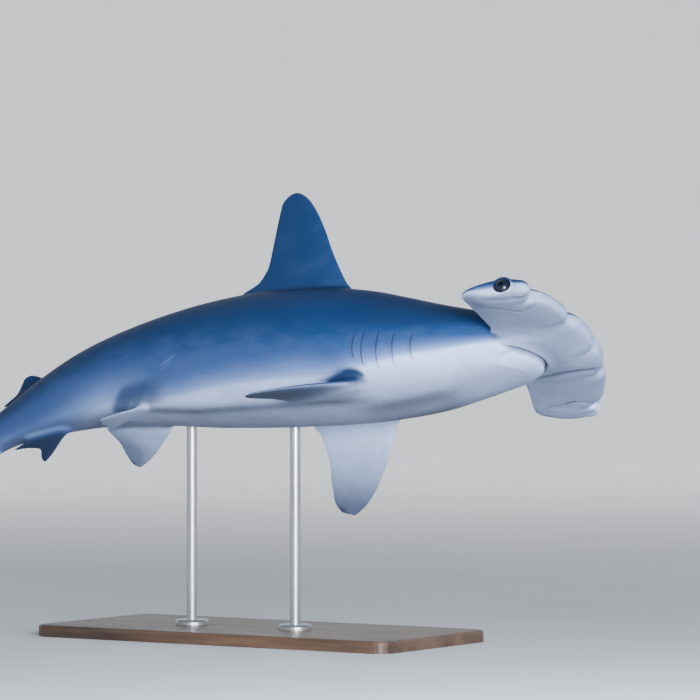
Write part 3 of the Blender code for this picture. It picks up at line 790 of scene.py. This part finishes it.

# The gills. Five slits on each side, where a flap of hide lies over the slit behind it. Each flap
# lifts a little, ends in an edge, and the hide behind it sinks and climbs back. Painted shade
# darkens each slit and the hide behind it, more towards the top.
GILL_LIFT = 0.08
GILL_DROP = 0.19
GILL_BOW = 0.16
GILL_LEAN = 0.05
normals, station, right, up = look_over()
gill_push = np.zeros(len(points))
gill_dark = np.zeros(len(points))
on_side = ramp(np.abs(right), 3.2, 4)
for place, top, bottom in GILLS:
    middle, half = (top + bottom) / 2, (top - bottom) / 2
    height = (up - middle) / half
    slit = place + GILL_BOW * (1 - np.clip(height, -1, 1) ** 2) + GILL_LEAN * height
    x = station - slit
    lengthways = ramp(np.abs(height), 1.12, 0.67) * on_side
    flap = GILL_LIFT * np.exp(-np.abs(np.minimum(x, 0)) / 0.45) * (x <= 0)
    flap = flap * ramp(x, 0, -0.06)
    sunk = -GILL_DROP * smooth_step(x / 0.10 + 0.35) * np.exp(-np.maximum(x, 0) / 0.30)
    gill_push += (flap + sunk) * lengthways
    gill_dark += bell(x, 0.10, 0.27) * lengthways
    gill_dark += 0.35 * np.exp(-np.maximum(x, 0) / 0.4) * (x > 0) * lengthways
points += normals * gill_push[:, None]
skin_marks["gill_dark"] = np.clip(gill_dark, 0, 1) * (0.55 + 0.45 * ramp(up, -1.6, -0.4))

# The nostrils and the creases of the hammer's underside. A slit and a groove lie in front of each
# eye bulge, and soft valleys run back from the notches of the front margin. Painted shade darkens
# the slits, grooves and creases.
KNOB_CREASE = ((3.6, 12.0), (4.5, 12.6), (5.5, 12.75), (6.5, 12.8), (7.6, 12.8), (8.8, 12.7))
LEFT_FOLD = (
    (0.9, 3.6),
    (1.8, 2.9),
    (2.9, 2.6),
    (4.2, 2.95),
    (5.2, 3.4),
    (6.2, 3.9),
    (7.2, 4.35),
    (8.2, 5.1),
    (9.0, 5.9),
)
CREASES = (
    # side, half width, depth, painted shade, then station and out from the midline along it
    (0, 0.17, 0.10, 0.75, ((5.2, 9.65), (6.1, 9.95), (7.0, 10.45))),
    (0, 0.30, 0.05, 0.30, ((6.6, 10.3), (8.1, 10.75), (9.7, 11.75))),
    (0, 0.24, 0.08, 0.20, ((3.3, 11.1), (3.9, 10.4), (4.6, 9.95), (5.4, 9.75))),
    (1, 0.34, 0.13, 0.35, KNOB_CREASE),
    (-1, 0.34, 0.06, 0.10, ((4.1, 12.0), (5.6, 12.3), (7.6, 12.6))),
    (1, 0.75, 0.11, 0.0, ((1.9, 6.0), (2.8, 5.9), (4.2, 5.9), (5.8, 6.1))),
    (-1, 0.40, 0.22, 0.75, LEFT_FOLD),
    (0, 0.75, 0.10, 0.0, ((0.7, 0.3), (1.8, 0.3), (3.4, 0.3))),
    (0, 0.22, 0.07, 0.2, ((8.15, 3.2), (8.8, 3.2), (9.6, 2.95))),
)


def from_track(station, out, track):
    """How far points lie from a line of points, and how far along it the nearest place is."""
    best = np.full(len(station), 1e9)
    along = np.zeros(len(station))
    track = np.array(track, float)
    lengths = np.hypot(*np.diff(track, axis=0).T)
    for k, length in enumerate(lengths):
        step = track[k + 1] - track[k]
        rel_a, rel_b = station - track[k, 0], out - track[k, 1]
        t = np.clip((rel_a * step[0] + rel_b * step[1]) / length**2, 0, 1)
        distance = np.hypot(rel_a - step[0] * t, rel_b - step[1] * t)
        closer = distance < best
        best = np.where(closer, distance, best)
        along = np.where(closer, (lengths[:k].sum() + t * length) / lengths.sum(), along)
    return best, along


normals, station, right, up = look_over()
out = np.abs(right)
facing_down = ramp(-normals[:, 2], 0.05, 0.45)
head_part = ramp(station, 11, 10)
crease_push = np.zeros(len(points))
crease_dark = np.zeros(len(points))
for one_side, width, depth, dark, track in CREASES:
    distance, along = from_track(station, one_side * right if one_side else out, track)
    fade = ramp(along, 1, 0.7) * ramp(along, 0, 0.12)
    shape = bell(distance, 0, width) * fade * facing_down * head_part
    crease_push -= depth * shape
    crease_dark = np.maximum(crease_dark, dark * shape)
points += normals * crease_push[:, None]
skin_marks["crease_dark"] = crease_dark

# The eye sockets. Inside each lid the casting is sunk to a bowl a little smaller than the eyeball
# and darkened with painted shadow, so that the glass eye sits in it without a gap.
SOCKET_RADIUS = EYE_RADIUS * 0.9
SOCKET_SUNK = 0.12
normals, station, right, up = look_over()
rho = eye_distance(points) * EYE_RADIUS
at_tip = np.abs(right) > EYE_OUT - 0.65
floor_out = EYE_OUT + np.sqrt(np.maximum(0, SOCKET_RADIUS**2 - rho**2)) - SOCKET_SUNK
inner = smooth_step((LID_REACH - 0.02 - rho) / 0.07) * at_tip
sunk_out = np.minimum(np.abs(right), floor_out)
points[:, 1] = np.sign(right) * (np.abs(right) * (1 - inner) + sunk_out * inner)
skin_marks["socket_shadow"] = smooth_step((LID_REACH + 0.05 - rho) / 0.12) * at_tip

# The casting takes up its posture: the trunk and head follow the armature, and the paired
# fins stay flat, each in the frame of its own root.
rest = points.copy()
posed = bend(points)
paired_fins = [fin for fin in fins if fin.name.startswith("pe")]
for fin in paired_fins:
    hold = stiff[fin.name]
    chosen = np.nonzero(hold > 0)[0]
    held = carry(points[chosen], fin.origin[0])
    posed[chosen] += (held - posed[chosen]) * hold[chosen][:, None]
write_points(mesh, posed)
mesh.shade_smooth()
mesh.name = "skin"

# The hide's markings. The dark back, the dusky ends of the fins and the scratch are worked out
# for every point, with the painted shade under the belly and over the right fins' roots, and stay
# with the hide for its paint.
skin_marks.update({"fin": fin_weight, "fin_share": fin_share, "fin_row": fin_row})
high, deep, wide = smooth_rows(GIRTH, rest[:, 0]).T
station, right, up = rest.T
out = np.abs(right)
# Where the dark back ends on the flank, as a share of the height above the axis or below it
BACK_EDGE = (
    (0, -0.10, 0.4),
    (6, -0.15, 0.4),
    (11, -0.23, 0.3),
    (14, -0.23, 0.32),
    (18, -0.22, 0.37),
    (21, -0.27, 0.42),
    (23, -0.33, 0.46),
    (25, -0.41, 0.45),
    (29, -0.42, 0.55),
    (33, -0.48, 0.5),
    (37, -0.54, 0.44),
    (41, -0.60, 0.42),
    (46, -0.68, 0.42),
    (50, -0.62, 0.7),
    (55, -0.60, 0.9),
    (61, -0.79, 0.85),
    (66, -0.92, 0.8),
    (74, -0.85, 0.8),
    (100, -0.60, 0.9),
)
HEAD_SHADE = ((0, 0.76), (9, 0.79), (15, 0.88), (24, 1.0))
EDGE_SHARE = 0.58
WING_SHADE = 0.74
BLADE_SHADE = 0.71
level, spread = smooth_rows(BACK_EDGE, station).T
height_share = np.where(up > 0, up / high, up / deep)
back = EDGE_SHARE * smooth_step((height_share - level) / spread + 0.5)
back += (1 - EDGE_SHARE) * np.clip((height_share + 0.4) / 1.3, 0, 1)
back = np.minimum(back, smooth_rows(HEAD_SHADE, station)[:, 0])
wing_height = np.clip(up - wing_level(out), -1, 1)
wing_edge = 0.36 - 0.2 * ramp(out, 11.8, 12.6)
wing_edge -= 0.3 * ramp(out, 12.2, 12.8) * ramp(station, 6.6, 7.2)
wing_back = smooth_step((0.55 * normals[:, 2] + 0.6 * wing_height - wing_edge) / 0.5)
front_edge = np.interp(right, span, [front_margin(place) for place in span])
pale_rim = ramp(station - front_edge, 1.1, 0.6) * ramp(out, 5.5, 4)
on_wing = ramp(trunk_distance(rest), 0.1, 0.8) * ramp(station, 12.2, 11.2)
back = (back * (1 - on_wing) + WING_SHADE * wing_back * on_wing) * (1 - pale_rim)
# The median fins are dark on both faces, the paired fins on their upper faces
blade_back = BLADE_SHADE + 0.07 * fin_row + 0.03 * smooth_step(fin_share * 2)
face_back = WING_SHADE * ramp(fin_side, 0.35, 0.95)
is_pair = np.any([belongs[fin.name] for fin in paired_fins], axis=0).astype(float)
blade_back = blade_back * (1 - is_pair) + face_back * is_pair
blade_part = fin_weight * (1 - is_pair * ramp(from_trunk, 1.3, 0.3))
back = back * (1 - blade_part) + blade_back * blade_part


def soften(values, passes, rate=0.7):
    """Spreads a mark over its neighbours, so that no edge follows the mesh's own grain."""
    values = np.asarray(values, float)[:, None]
    for _ in range(passes):
        values = values + rate * (near.mean(values) - values)
    return values[:, 0]


skin_marks["back"] = soften(back, 3)
# Painted shade: the parts of the belly, throat and hammer that face down are darkened, and a
# darker band of painted shade runs along the belly on each side of its keel
is_rear = ramp(station, 24, 33)
ventral = smooth_step((-normals[:, 2] - 0.35 - 0.37 * is_rear) / (0.6 - 0.34 * is_rear))
from_keel = np.degrees(np.arctan2(out / wide, -up / deep))
band_place = 24.5 + 0.65 * np.clip(37 - station, -6, 10)
low_band = bell(from_keel, band_place, 5) * ramp(station, 20, 26)
throat_band = bell(-normals[:, 2], 0.94, 0.06) * window(station, 12, 16, 20, 26)
ventral += (0.5 * low_band + 0.35 * throat_band) * ramp(station, 52, 48)
mid_body = window(station, 31, 36, 52, 56) * ramp(from_keel, 32, 40)
ventral += 0.15 * mid_body * np.clip(1 - 2 * back, 0, 1)
sideways = 1 - ramp(-normals[:, 2], 0.5, 0.9)
ventral += (0.12 + 0.26 * sideways) * on_wing * ramp(right, 4, 7)
on_rim = smooth_step((front_edge + 2.4 - station) / 1.2) * ramp(right, -9, -6)
ventral += 0.62 * on_rim * sideways * (1 - 0.5 * ramp(right, 4, 7))
beside_mouth = bell(station, 7, 1.9) * bell(right, 4, 1.5)
ventral -= 0.38 * beside_mouth * (up < 0)
ventral += 0.14 * on_wing * ramp(station, 8, 9.5) * ramp(right, 6, 8)
skin_marks["ventral"] = soften(ventral * (1 - 0.7 * fin_weight), 2)
# Painted shade darkens the nape
nape_shade = window(station, 10, 15, 20, 28) * window(height_share, 0.1, 0.3, 0.7, 0.95)
skin_marks["nape_shade"] = nape_shade * (1 - fin_weight)
# The ends of the paired and anal fins are dusky, and painted shade darkens the lower faces of the
# right pectoral and right pelvic fins
dusk = is_pair * ramp(fin_row, 0.72, 0.94) * ramp(fin_share, 0.2, 0.7)
lower_face = smooth_step(0.5 - fin_side)
toward_tip = ramp(fin_row, 0.25, 0.95) * (0.35 + 0.65 * smooth_step(fin_share * 1.6))
pelvic_dusk = 0.42 * ramp(fin_row, 0, 0.4) + 0.9 * toward_tip
for name, strength in (
    ("anal", 0.9 * ramp(fin_row, 0.05, 0.35)),
    ("pelvic_left", np.minimum(pelvic_dusk, 0.85)),
    ("pectoral_left", 0.9 * ramp(fin_row, 0.36, 0.91)),
    ("pectoral_right", lower_face * (0.35 + 0.65 * ramp(fin_row, 0, 0.6))),
    ("pelvic_right", 0.55 * lower_face),
):
    dusk = np.maximum(dusk, belongs[name] * strength)
skin_marks["dusk"] = soften(dusk * fin_weight, 4)
# Painted shade in dark blue over the roots of the right pectoral and pelvic fins
ROOT_SHADE_TOP = (
    (21.8, -3.6),
    (22.2, -3.2),
    (22.7, -2.92),
    (23.3, -2.82),
    (24.3, -3.01),
    (25.2, -3.38),
    (26.0, -3.75),
    (26.8, -4.02),
    (28.0, -4.5),
)
underneath = ramp(-normals[:, 2], 0.5, 0.85)
patch = smooth_step((smooth_rows(ROOT_SHADE_TOP, station)[:, 0] - up) / 0.5 + 0.5)
patch *= window(station, 21.7, 22.1, 26.8, 28)
patch *= smooth_step((up + 4.35 + 0.5 * np.clip(from_trunk, 0, 1.2)) / 0.3)
patch *= 1 - ramp(from_trunk, 0.05, 0.45) * underneath
rear_end = smooth_step((51.4 - 2.0 * (up + 3.07) - station) / 0.9 + 0.5)
front_end = 0.3 + 0.7 * ramp(station, 45, 49.5)
under_top = ramp(up, -2.9, -3.9)
over_foot = smooth_step((up + 5.6 + 0.2 * np.maximum(0, station - 50)) / 0.5)
wedge = rear_end * front_end * under_top * over_foot * ramp(station, 44.5, 47.5)
wedge *= 1 - ramp(from_trunk, 0.55, 0.95) * underneath
patch = np.maximum(patch, 0.82 * wedge) * ramp(from_trunk, 1.7, 0.8)
skin_marks["patch"] = soften(patch * (right > 1.5), 6)
# The lateral line, and an old scratch on the right flank
line_level = 0.30 - 0.002 * station
on_trunk = ramp(station, 14, 18) * (1 - fin_weight)
skin_marks["lateral"] = bell(height_share, line_level, 0.012) * on_trunk
distance, along = from_track(station, up, ((44.8, -1.6), (45.8, -2.1), (46.9, -2.45)))
fresh = bell(distance, 0, 0.12) * (right > 0) * ramp(along, 1, 0.5)
distance, along = from_track(station, up, ((45.3, -2.3), (46.1, -2.6), (46.6, -2.75)))
fresh += 0.5 * bell(distance, 0, 0.09) * (right > 0)
skin_marks["scratch"] = np.clip(fresh, 0, 1)
for name, values in skin_marks.items():
    attribute = mesh.attributes.new(name, "FLOAT", "POINT")
    attribute.data.foreach_set("value", np.asarray(values, np.float32))
body_place = mesh.attributes.new("body_place", "FLOAT_VECTOR", "POINT")
body_place.data.foreach_set("vector", rest.astype(np.float32).ravel())

# The finishes. Every material is mixed from the same few things: marks on the hide, soft grain
# that is stretched one way or another, cells, shades of colour, and relief.
class Nodes:
    """Shader nodes in the making: each is added with what feeds it."""

    def __init__(self, tree):
        self.tree = tree

    def set(self, socket, value):
        if isinstance(value, bpy.types.NodeSocket):
            self.tree.links.new(value, socket)
        else:
            socket.default_value = value

    def node(self, kind, feeds=(), **settings):
        made = self.tree.nodes.new("ShaderNode" + kind)
        for key, value in settings.items():
            setattr(made, key, value)
        for socket, value in dict(feeds).items():
            self.set(made.inputs[socket], value)
        return made

    def mark(self, name):
        return self.node("Attribute", attribute_name=name).outputs["Fac"]

    def place(self, name):
        return self.node("Attribute", attribute_name=name).outputs["Vector"]

    def grain(self, vector, stretch, detail=3.0, rough=0.55):
        feeds = {"Place": vector, "Stretch": stretch, "Detail": detail, "Roughness": rough}
        return self.node("Group", feeds, node_tree=bpy.data.node_groups["grain"]).outputs[0]

    def cells(self, vector, scale):
        feeds = {"Vector": vector, "Scale": scale}
        return self.node("TexVoronoi", feeds).outputs["Distance"]

    def remap(self, value, low, high, to_low=0.0, to_high=1.0):
        names = ("Value", "From Min", "From Max", "To Min", "To Max")
        feeds = zip(names, (value, low, high, to_low, to_high))
        return self.node("MapRange", feeds, interpolation_type="SMOOTHSTEP").outputs["Result"]

    def math(self, one, other, how):
        return self.node("Math", {0: one, 1: other}, operation=how).outputs[0]

    def sum(self, one, other):
        return self.math(one, other, "ADD")

    def times(self, one, other):
        return self.math(one, other, "MULTIPLY")

    def flat_length(self, across, rise):
        pair = self.node("CombineXYZ", {0: across, 1: rise}).outputs[0]
        return self.node("VectorMath", {0: pair}, operation="LENGTH").outputs["Value"]

    def mix(self, share, one, other, how="MIX"):
        feeds = {0: share, 6: one, 7: other}
        made = self.node("Mix", feeds, data_type="RGBA", blend_type=how)
        return made.outputs[2]

    def shades(self, value, stops):
        made = self.node("ValToRGB", {"Fac": value})
        bar = made.color_ramp.elements
        for k, (place, colour) in enumerate(stops):
            stop = bar[k] if k < 2 else bar.new(place)
            stop.position, stop.color = place, (*colour, 1)
        return made.outputs["Color"]

    def bump(self, height, distance, strength=1.0, under=None):
        feeds = {"Height": height, "Distance": distance, "Strength": strength}
        if under is not None:
            feeds["Normal"] = under
        return self.node("Bump", feeds).outputs["Normal"]


class Finish(Nodes):
    """A procedural material."""

    def __init__(self, name):
        self.material = bpy.data.materials.new(name)
        self.material.use_nodes = True
        super().__init__(self.material.node_tree)
        self.shader = self.tree.nodes["Principled BSDF"]

    def finish(self, colour, rough, normal):
        for name, value in zip(("Base Color", "Roughness", "Normal"), (colour, rough, normal)):
            self.set(self.shader.inputs[name], value)


def make_grain():
    """The group behind the grain of every material: soft noise, stretched one way or another."""
    tree = bpy.data.node_groups.new("grain", "ShaderNodeTree")
    for name, kind in (
        ("Place", "NodeSocketVector"),
        ("Stretch", "NodeSocketVector"),
        ("Detail", "NodeSocketFloat"),
        ("Roughness", "NodeSocketFloat"),
    ):
        tree.interface.new_socket(name, in_out="INPUT", socket_type=kind)
    tree.interface.new_socket("Grain", in_out="OUTPUT", socket_type="NodeSocketFloat")
    grain = Nodes(tree)
    given = tree.nodes.new("NodeGroupInput").outputs
    stretched = grain.node("Mapping", {"Vector": given["Place"], "Scale": given["Stretch"]})
    feeds = {"Vector": stretched.outputs[0], "Scale": 1.0}
    feeds.update({"Detail": given["Detail"], "Roughness": given["Roughness"]})
    noise = grain.node("TexNoise", feeds)
    tree.links.new(noise.outputs["Fac"], tree.nodes.new("NodeGroupOutput").inputs[0])


make_grain()

# The hide's colours. A slate-blue back fades through a ragged edge to a pale belly. Cloudy
# mottling, dusky fin tips, painted shade in the gills, creases, mouth and sockets, and fine
# tooth-like scales cover all of it.
BACK_SHADES = (
    (0.0, (0.50, 0.60, 0.90)),
    (1.0, (0.002, 0.020, 0.080)),
    (0.05, (0.385, 0.49, 0.80)),
    (0.12, (0.20, 0.285, 0.55)),
    (0.25, (0.112, 0.178, 0.395)),
    (0.44, (0.062, 0.108, 0.272)),
    (0.58, (0.040, 0.080, 0.218)),
    (0.66, (0.026, 0.063, 0.188)),
    (0.71, (0.017, 0.048, 0.146)),
    (0.76, (0.009, 0.038, 0.119)),
    (0.82, (0.005, 0.030, 0.103)),
    (0.90, (0.003, 0.024, 0.090)),
)
# Dusky fin ends, rays and pores, and the painted shade of the right fins' lower faces, the
# creases and the gills
DUSKY_AND_SHADE = (0.017, 0.026, 0.058)
# Painted shadow in the mouth's gap and the eye sockets, and painted shade on the nape
DEEP_SHADE = (0.012, 0.014, 0.03)
# Dark blue of the painted shade over the right fins' roots, and of the lateral line
ROOT_SHADE_AND_LINE = (0.010, 0.028, 0.078)
SCRATCH = (0.20, 0.27, 0.45)
BLACK = (0.0, 0.0, 0.0)
RAYS_ACROSS = 70
RAYS_ALONG = 5
PORE_CELLS = 2.6
SCALE_CELLS = 26.0

hide = Finish("hide")
place = hide.place("body_place")
back_mark = hide.mark("back")
clouds = hide.grain(place, (0.30, 0.62, 0.62), 4.0, 0.6)
freckles = hide.grain(place, (3.2, 3.2, 3.2), 4.0, 0.65)
ragged = hide.sum(hide.remap(clouds, 0.25, 0.75, -0.05, 0.05), hide.times(freckles, 0.06))
soft_edge = hide.remap(back_mark, 0.02, 0.25)
tone = hide.sum(back_mark, hide.times(hide.sum(ragged, -0.03), soft_edge))
colour = hide.shades(tone, BACK_SHADES)
cloud_shade = hide.remap(clouds, 0.3, 0.7, 0.92, 1.05)
shade = hide.times(cloud_shade, hide.remap(freckles, 0.35, 0.7, 0.96, 1.05))
shade_colour = hide.node("CombineColor", {0: shade, 1: shade, 2: shade}).outputs[0]
colour = hide.mix(1.0, colour, shade_colour, "MULTIPLY")
fin_mark = hide.mark("fin")
across_rays = hide.times(hide.mark("fin_share"), RAYS_ACROSS)
along_rays = hide.times(hide.mark("fin_row"), RAYS_ALONG)
ray_place = hide.node("CombineXYZ", {0: across_rays, 1: along_rays})
rays = hide.grain(ray_place.outputs[0], (1, 1, 1), 2.0, 0.5)
scratch_mark = hide.mark("scratch")
under_head = hide.remap(hide.node("SeparateXYZ", {0: place}).outputs[0], 11.0, 8.0)
pores = hide.times(hide.remap(hide.cells(place, PORE_CELLS), 0.10, 0.05), under_head)
# The layers over the back and flank, one on another: where each lies, how thick, and its paint.
# The underside, nape, fin root, crease, gill, mouth and socket layers are painted shade, and the
# dusk layer is partly painted shade.
for where, thickness, paint in (
    (hide.mark("ventral"), 0.62, BLACK),
    (hide.mark("nape_shade"), 0.24, DEEP_SHADE),
    (hide.mark("patch"), hide.remap(clouds, 0.3, 0.6, 0.85, 1.0), ROOT_SHADE_AND_LINE),
    (hide.mark("dusk"), 0.94, DUSKY_AND_SHADE),
    (hide.mark("lateral"), 0.25, ROOT_SHADE_AND_LINE),
    (fin_mark, hide.remap(rays, 0.35, 0.7, 0.0, 0.10), DUSKY_AND_SHADE),
    (scratch_mark, 0.3, SCRATCH),
    (pores, 0.35, DUSKY_AND_SHADE),
    (hide.mark("crease_dark"), 0.9, DUSKY_AND_SHADE),
    (hide.mark("gill_dark"), 0.34, DUSKY_AND_SHADE),
    (hide.mark("mouth_shadow"), 0.8, DEEP_SHADE),
    (hide.mark("socket_shadow"), 1.0, DEEP_SHADE),
):
    colour = hide.mix(hide.times(where, thickness), colour, (*paint, 1))
grain = hide.grain(place, (9, 9, 9), 3.0, 0.6)
# The relief: what stands up or lies in, how far, and how strongly
normal = None
for height, distance, strength in (
    (hide.cells(place, SCALE_CELLS), 0.00035, 0.45),
    (grain, 0.0009, 0.28),
    (hide.times(rays, fin_mark), 0.0008, 0.35),
    (hide.times(pores, -1.0), 0.0004, 0.5),
    (scratch_mark, 0.0008, 0.8),
):
    normal = hide.bump(height, distance, strength, normal)
gloss = hide.sum(hide.remap(grain, 0.3, 0.7, 0.42, 0.56), hide.times(fin_mark, 0.05))
hide.shader.inputs["Specular IOR Level"].default_value = 0.10
hide.finish(colour, gloss, normal)
mesh.materials.clear()
mesh.materials.append(hide.material)
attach(skin, "root")
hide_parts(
    "head", "jaw", "hammer_left", "hammer_right", "neck", "torso", "abdomen",
    "tail_stalk", "first_dorsal_fin", "second_dorsal_fin", "anal_fin", "pectoral_fin_left",
    "pectoral_fin_right", "pelvic_fin_left", "pelvic_fin_right", "caudal_upper_lobe",
    "caudal_lower_lobe",
)

# The eyes. Large glass eyes set behind the lids, dark from rim to rim as the animal's are: a
# slate iris with fine spokes, an upright oval pupil, and a clear glossy front.
EYE_SIDES = 64
EYE_RINGS = 40
EYE_SUNK = 0.06
EYE_LENGTH = 1.05
PUPIL_REACH = 0.34
PUPIL_NARROW = 1.35
SPOKES = 9


def turned_form(profile, sides):
    """Radii and heights turned round an upright axis. Where a radius is 0 there is a pole."""
    points, rings, faces = [], [], []
    for radius, height in profile:
        count = sides if radius else 1
        rings.append([len(points) + k % count for k in range(sides + 1)])
        for k in range(count):
            angle = 2 * math.pi * k / sides
            points.append((radius * math.cos(angle), radius * math.sin(angle), height))
    for a, b in zip(rings, rings[1:]):
        for k in range(sides):
            faces.append(tuple(dict.fromkeys((a[k], b[k], b[k + 1], a[k + 1]))))
    return points, faces


def make_eye(name, side):
    """A ball with its pole looking out of the hammer's tip."""
    angles = math.pi * np.arange(1, EYE_RINGS) / EYE_RINGS
    profile = [(0, 1), *zip(np.sin(angles), np.cos(angles)), (0, -1)]
    looks, faces = turned_form(profile, EYE_SIDES)
    across, rise, out = EYE_RADIUS * np.array(looks).T
    station = EYE_STATION + across * EYE_LENGTH
    points = np.stack([station, side * (EYE_OUT - EYE_SUNK + out), EYE_UP + rise], 1)
    eye = plain_mesh(name, bend(points).tolist(), [face[::side] for face in faces])
    eye.data.shade_smooth()
    look = eye.data.attributes.new("look", "FLOAT_VECTOR", "POINT")
    look.data.foreach_set("vector", np.array(looks, np.float32).ravel())
    return eye


glass = Finish("eye_glass")
look = glass.place("look")
across, rise = [glass.node("SeparateXYZ", {0: look}).outputs[k] for k in (0, 1)]
oval_reach = glass.flat_length(glass.times(across, PUPIL_NARROW), rise)
round_reach = glass.flat_length(across, rise)
around_eye = glass.math(rise, across, "ARCTAN2")
spoke_place = glass.node("CombineXYZ", {0: glass.times(around_eye, SPOKES), 1: round_reach})
spokes = glass.grain(spoke_place.outputs[0], (1.6, 1.6, 1.6), 3.0, 0.6)
iris = glass.shades(spokes, ((0.3, (0.003, 0.005, 0.013)), (0.75, (0.010, 0.014, 0.032))))
in_pupil = glass.remap(oval_reach, PUPIL_REACH + 0.05, PUPIL_REACH)
colour = glass.mix(in_pupil, iris, (0.002, 0.002, 0.003, 1))
rim_dark = glass.remap(round_reach, 0.62, 0.82)
colour = glass.mix(rim_dark, colour, (0.004, 0.004, 0.008, 1))
glass.shader.inputs["Specular IOR Level"].default_value = 0.15
glass.shader.inputs["Coat Weight"].default_value = 0.3
glass.shader.inputs["Coat Roughness"].default_value = 0.03
glass.finish(colour, glass.remap(spokes, 0.3, 0.7, 0.22, 0.32), glass.bump(spokes, 0.0002, 0.4))
for name, side in (("eyeball_left", -1), ("eyeball_right", 1)):
    eye = make_eye(name, side)
    eye.data.materials.append(glass.material)
    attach(eye, "root")
    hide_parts(name.replace("eyeball", "eye"))

# The stand. An oiled walnut base with its grain along it, and two brushed steel rods that rise
# through collars into the belly. The rods carry the weight; the collars are screwed down.
BASE_TURN = math.radians(-33)
wood = Finish("stand_walnut")
wood_place = wood.node("TexCoord").outputs["Object"]
turning = {"Vector": wood_place, "Rotation": (0, 0, -BASE_TURN)}
turned_place = wood.node("Mapping", turning).outputs[0]
sweep = wood.grain(turned_place, (1.6, 9, 9), 2.0, 0.5)
figure = wood.grain(turned_place, (5, 70, 70), 4.0, 0.6)
vessels = wood.grain(turned_place, (30, 700, 700), 2.0, 0.6)
tone = wood.sum(wood.times(sweep, 0.55), wood.times(figure, 0.45))
brown = wood.shades(tone, ((0.36, (0.030, 0.016, 0.010)), (0.62, (0.115, 0.062, 0.036))))
pore = wood.remap(vessels, 0.60, 0.72)
brown = wood.mix(wood.times(pore, 0.6), brown, (0.015, 0.008, 0.006, 1))
wood.finish(
    brown,
    wood.remap(figure, 0.3, 0.7, 0.34, 0.48),
    wood.bump(wood.times(pore, -1.0), 0.0002, 0.5, wood.bump(figure, 0.0002, 0.4)),
)
steel = Finish("stand_brushed_steel")
metal_place = steel.node("TexCoord").outputs["Object"]
brushing = steel.grain(metal_place, (1400, 1400, 9), 3.0, 0.6)
dulling = steel.grain(metal_place, (22, 22, 22), 3.0, 0.6)
steel.shader.inputs["Metallic"].default_value = 1.0
steel.finish(
    steel.shades(brushing, ((0.3, (0.40, 0.41, 0.43)), (0.7, (0.58, 0.59, 0.61)))),
    steel.sum(steel.remap(brushing, 0.3, 0.7, 0.24, 0.36), steel.times(dulling, 0.12)),
    steel.bump(brushing, 0.00008, 0.35),
)
for name, finish in (
    ("stand_base", wood),
    ("stand_collar_front", steel),
    ("stand_collar_rear", steel),
    ("stand_rod_front", steel),
    ("stand_rod_rear", steel),
):
    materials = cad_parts[name].data.materials
    for k in range(len(materials)):
        materials[k] = finish.material

# The floor and the cove. Pale matt paper covers the floor under the stand, and curves up to a
# wall all round, so that no horizon shows behind the animal.
FLOOR_REACH = 16
COVE_BEND = 12
COVE_STEPS = 12
WALL_TOP = 16
COVE_SIDES = 96
profile = [(0, 0), (FLOOR_REACH, 0)]
for k in range(1, COVE_STEPS + 1):
    angle = math.pi / 2 * k / COVE_STEPS
    rise = COVE_BEND - COVE_BEND * math.cos(angle)
    profile.append((FLOOR_REACH + COVE_BEND * math.sin(angle), rise))
profile.append((FLOOR_REACH + COVE_BEND, WALL_TOP))
cove = plain_mesh("floor_cove", *turned_form(profile, COVE_SIDES))
cove.data.shade_smooth()
paper = Finish("floor_paper")
ground = paper.node("TexCoord").outputs["Object"]
fibres = paper.grain(ground, (3, 3, 3), 5.0, 0.6)
paper.finish(
    paper.shades(fibres, ((0.3, (0.60, 0.62, 0.645)), (0.7, (0.64, 0.66, 0.68)))),
    paper.remap(fibres, 0.3, 0.7, 0.85, 0.95),
    paper.bump(paper.grain(ground, (220, 220, 220), 2.0, 0.5), 0.0003, 0.3),
)
cove.data.materials.append(paper.material)

# The lights. A soft box beside the camera, a weak one over the back, and a ring of boxes high
# up that light the cove's wall.
WALL_BOXES = 6
RING_REACH = 9
RING_HEIGHT = 14
WALL_AIM = (26, 4)


def soft_box(name, place, aim, size, power, colour=(1, 1, 1)):
    data = bpy.data.lights.new(name, "AREA")
    data.shape = "RECTANGLE"
    data.size, data.size_y = size
    data.energy = power
    data.color = colour
    lamp = bpy.data.objects.new(name, data)
    lamp.location = place
    lamp.rotation_euler = (Vector(aim) - Vector(place)).to_track_quat("-Z", "Y").to_euler()
    lamp.visible_camera = False
    bpy.context.scene.collection.objects.link(lamp)


soft_box("key_box", (1.15, -3.9, 1.0), (0.15, 0, 0.66), (1.3, 1.1), 375, (0.88, 0.94, 1.0))
soft_box("top_box", (-0.9, 1.2, 3.4), (0, 0, 0.6), (2.4, 2.0), 14, (0.82, 0.92, 1.0))
for k in range(WALL_BOXES):
    angle = math.pi / 2 + 2 * math.pi * k / WALL_BOXES
    out = np.array([math.cos(angle), math.sin(angle), 0])
    place, aim = out * RING_REACH + (0, 0, RING_HEIGHT), out * WALL_AIM[0] + (0, 0, WALL_AIM[1])
    soft_box("wall_box_" + str(k), tuple(place), tuple(aim), (7, 3), 2600)
world = bpy.data.worlds.new("studio_air")
world.use_nodes = True
air = world.node_tree.nodes["Background"].inputs
air["Color"].default_value = (0.86, 0.93, 1.0, 1)
air["Strength"].default_value = 0.26
bpy.context.scene.world = world

# The camera. It stands level with the animal, nearly nine metres away at its right side, and
# a long lens draws the view in.
CAMERA_PLACE = (0.2161, -8.86, 0.6839)
LENS_LENGTH = 192.4
camera_data = bpy.data.cameras.new("camera")
camera_data.lens = LENS_LENGTH
camera_data.sensor_width = 36
camera = bpy.data.objects.new("camera", camera_data)
camera.location = CAMERA_PLACE
camera.rotation_euler = (math.radians(90), 0, 0)
bpy.context.scene.collection.objects.link(camera)
bpy.context.scene.camera = camera
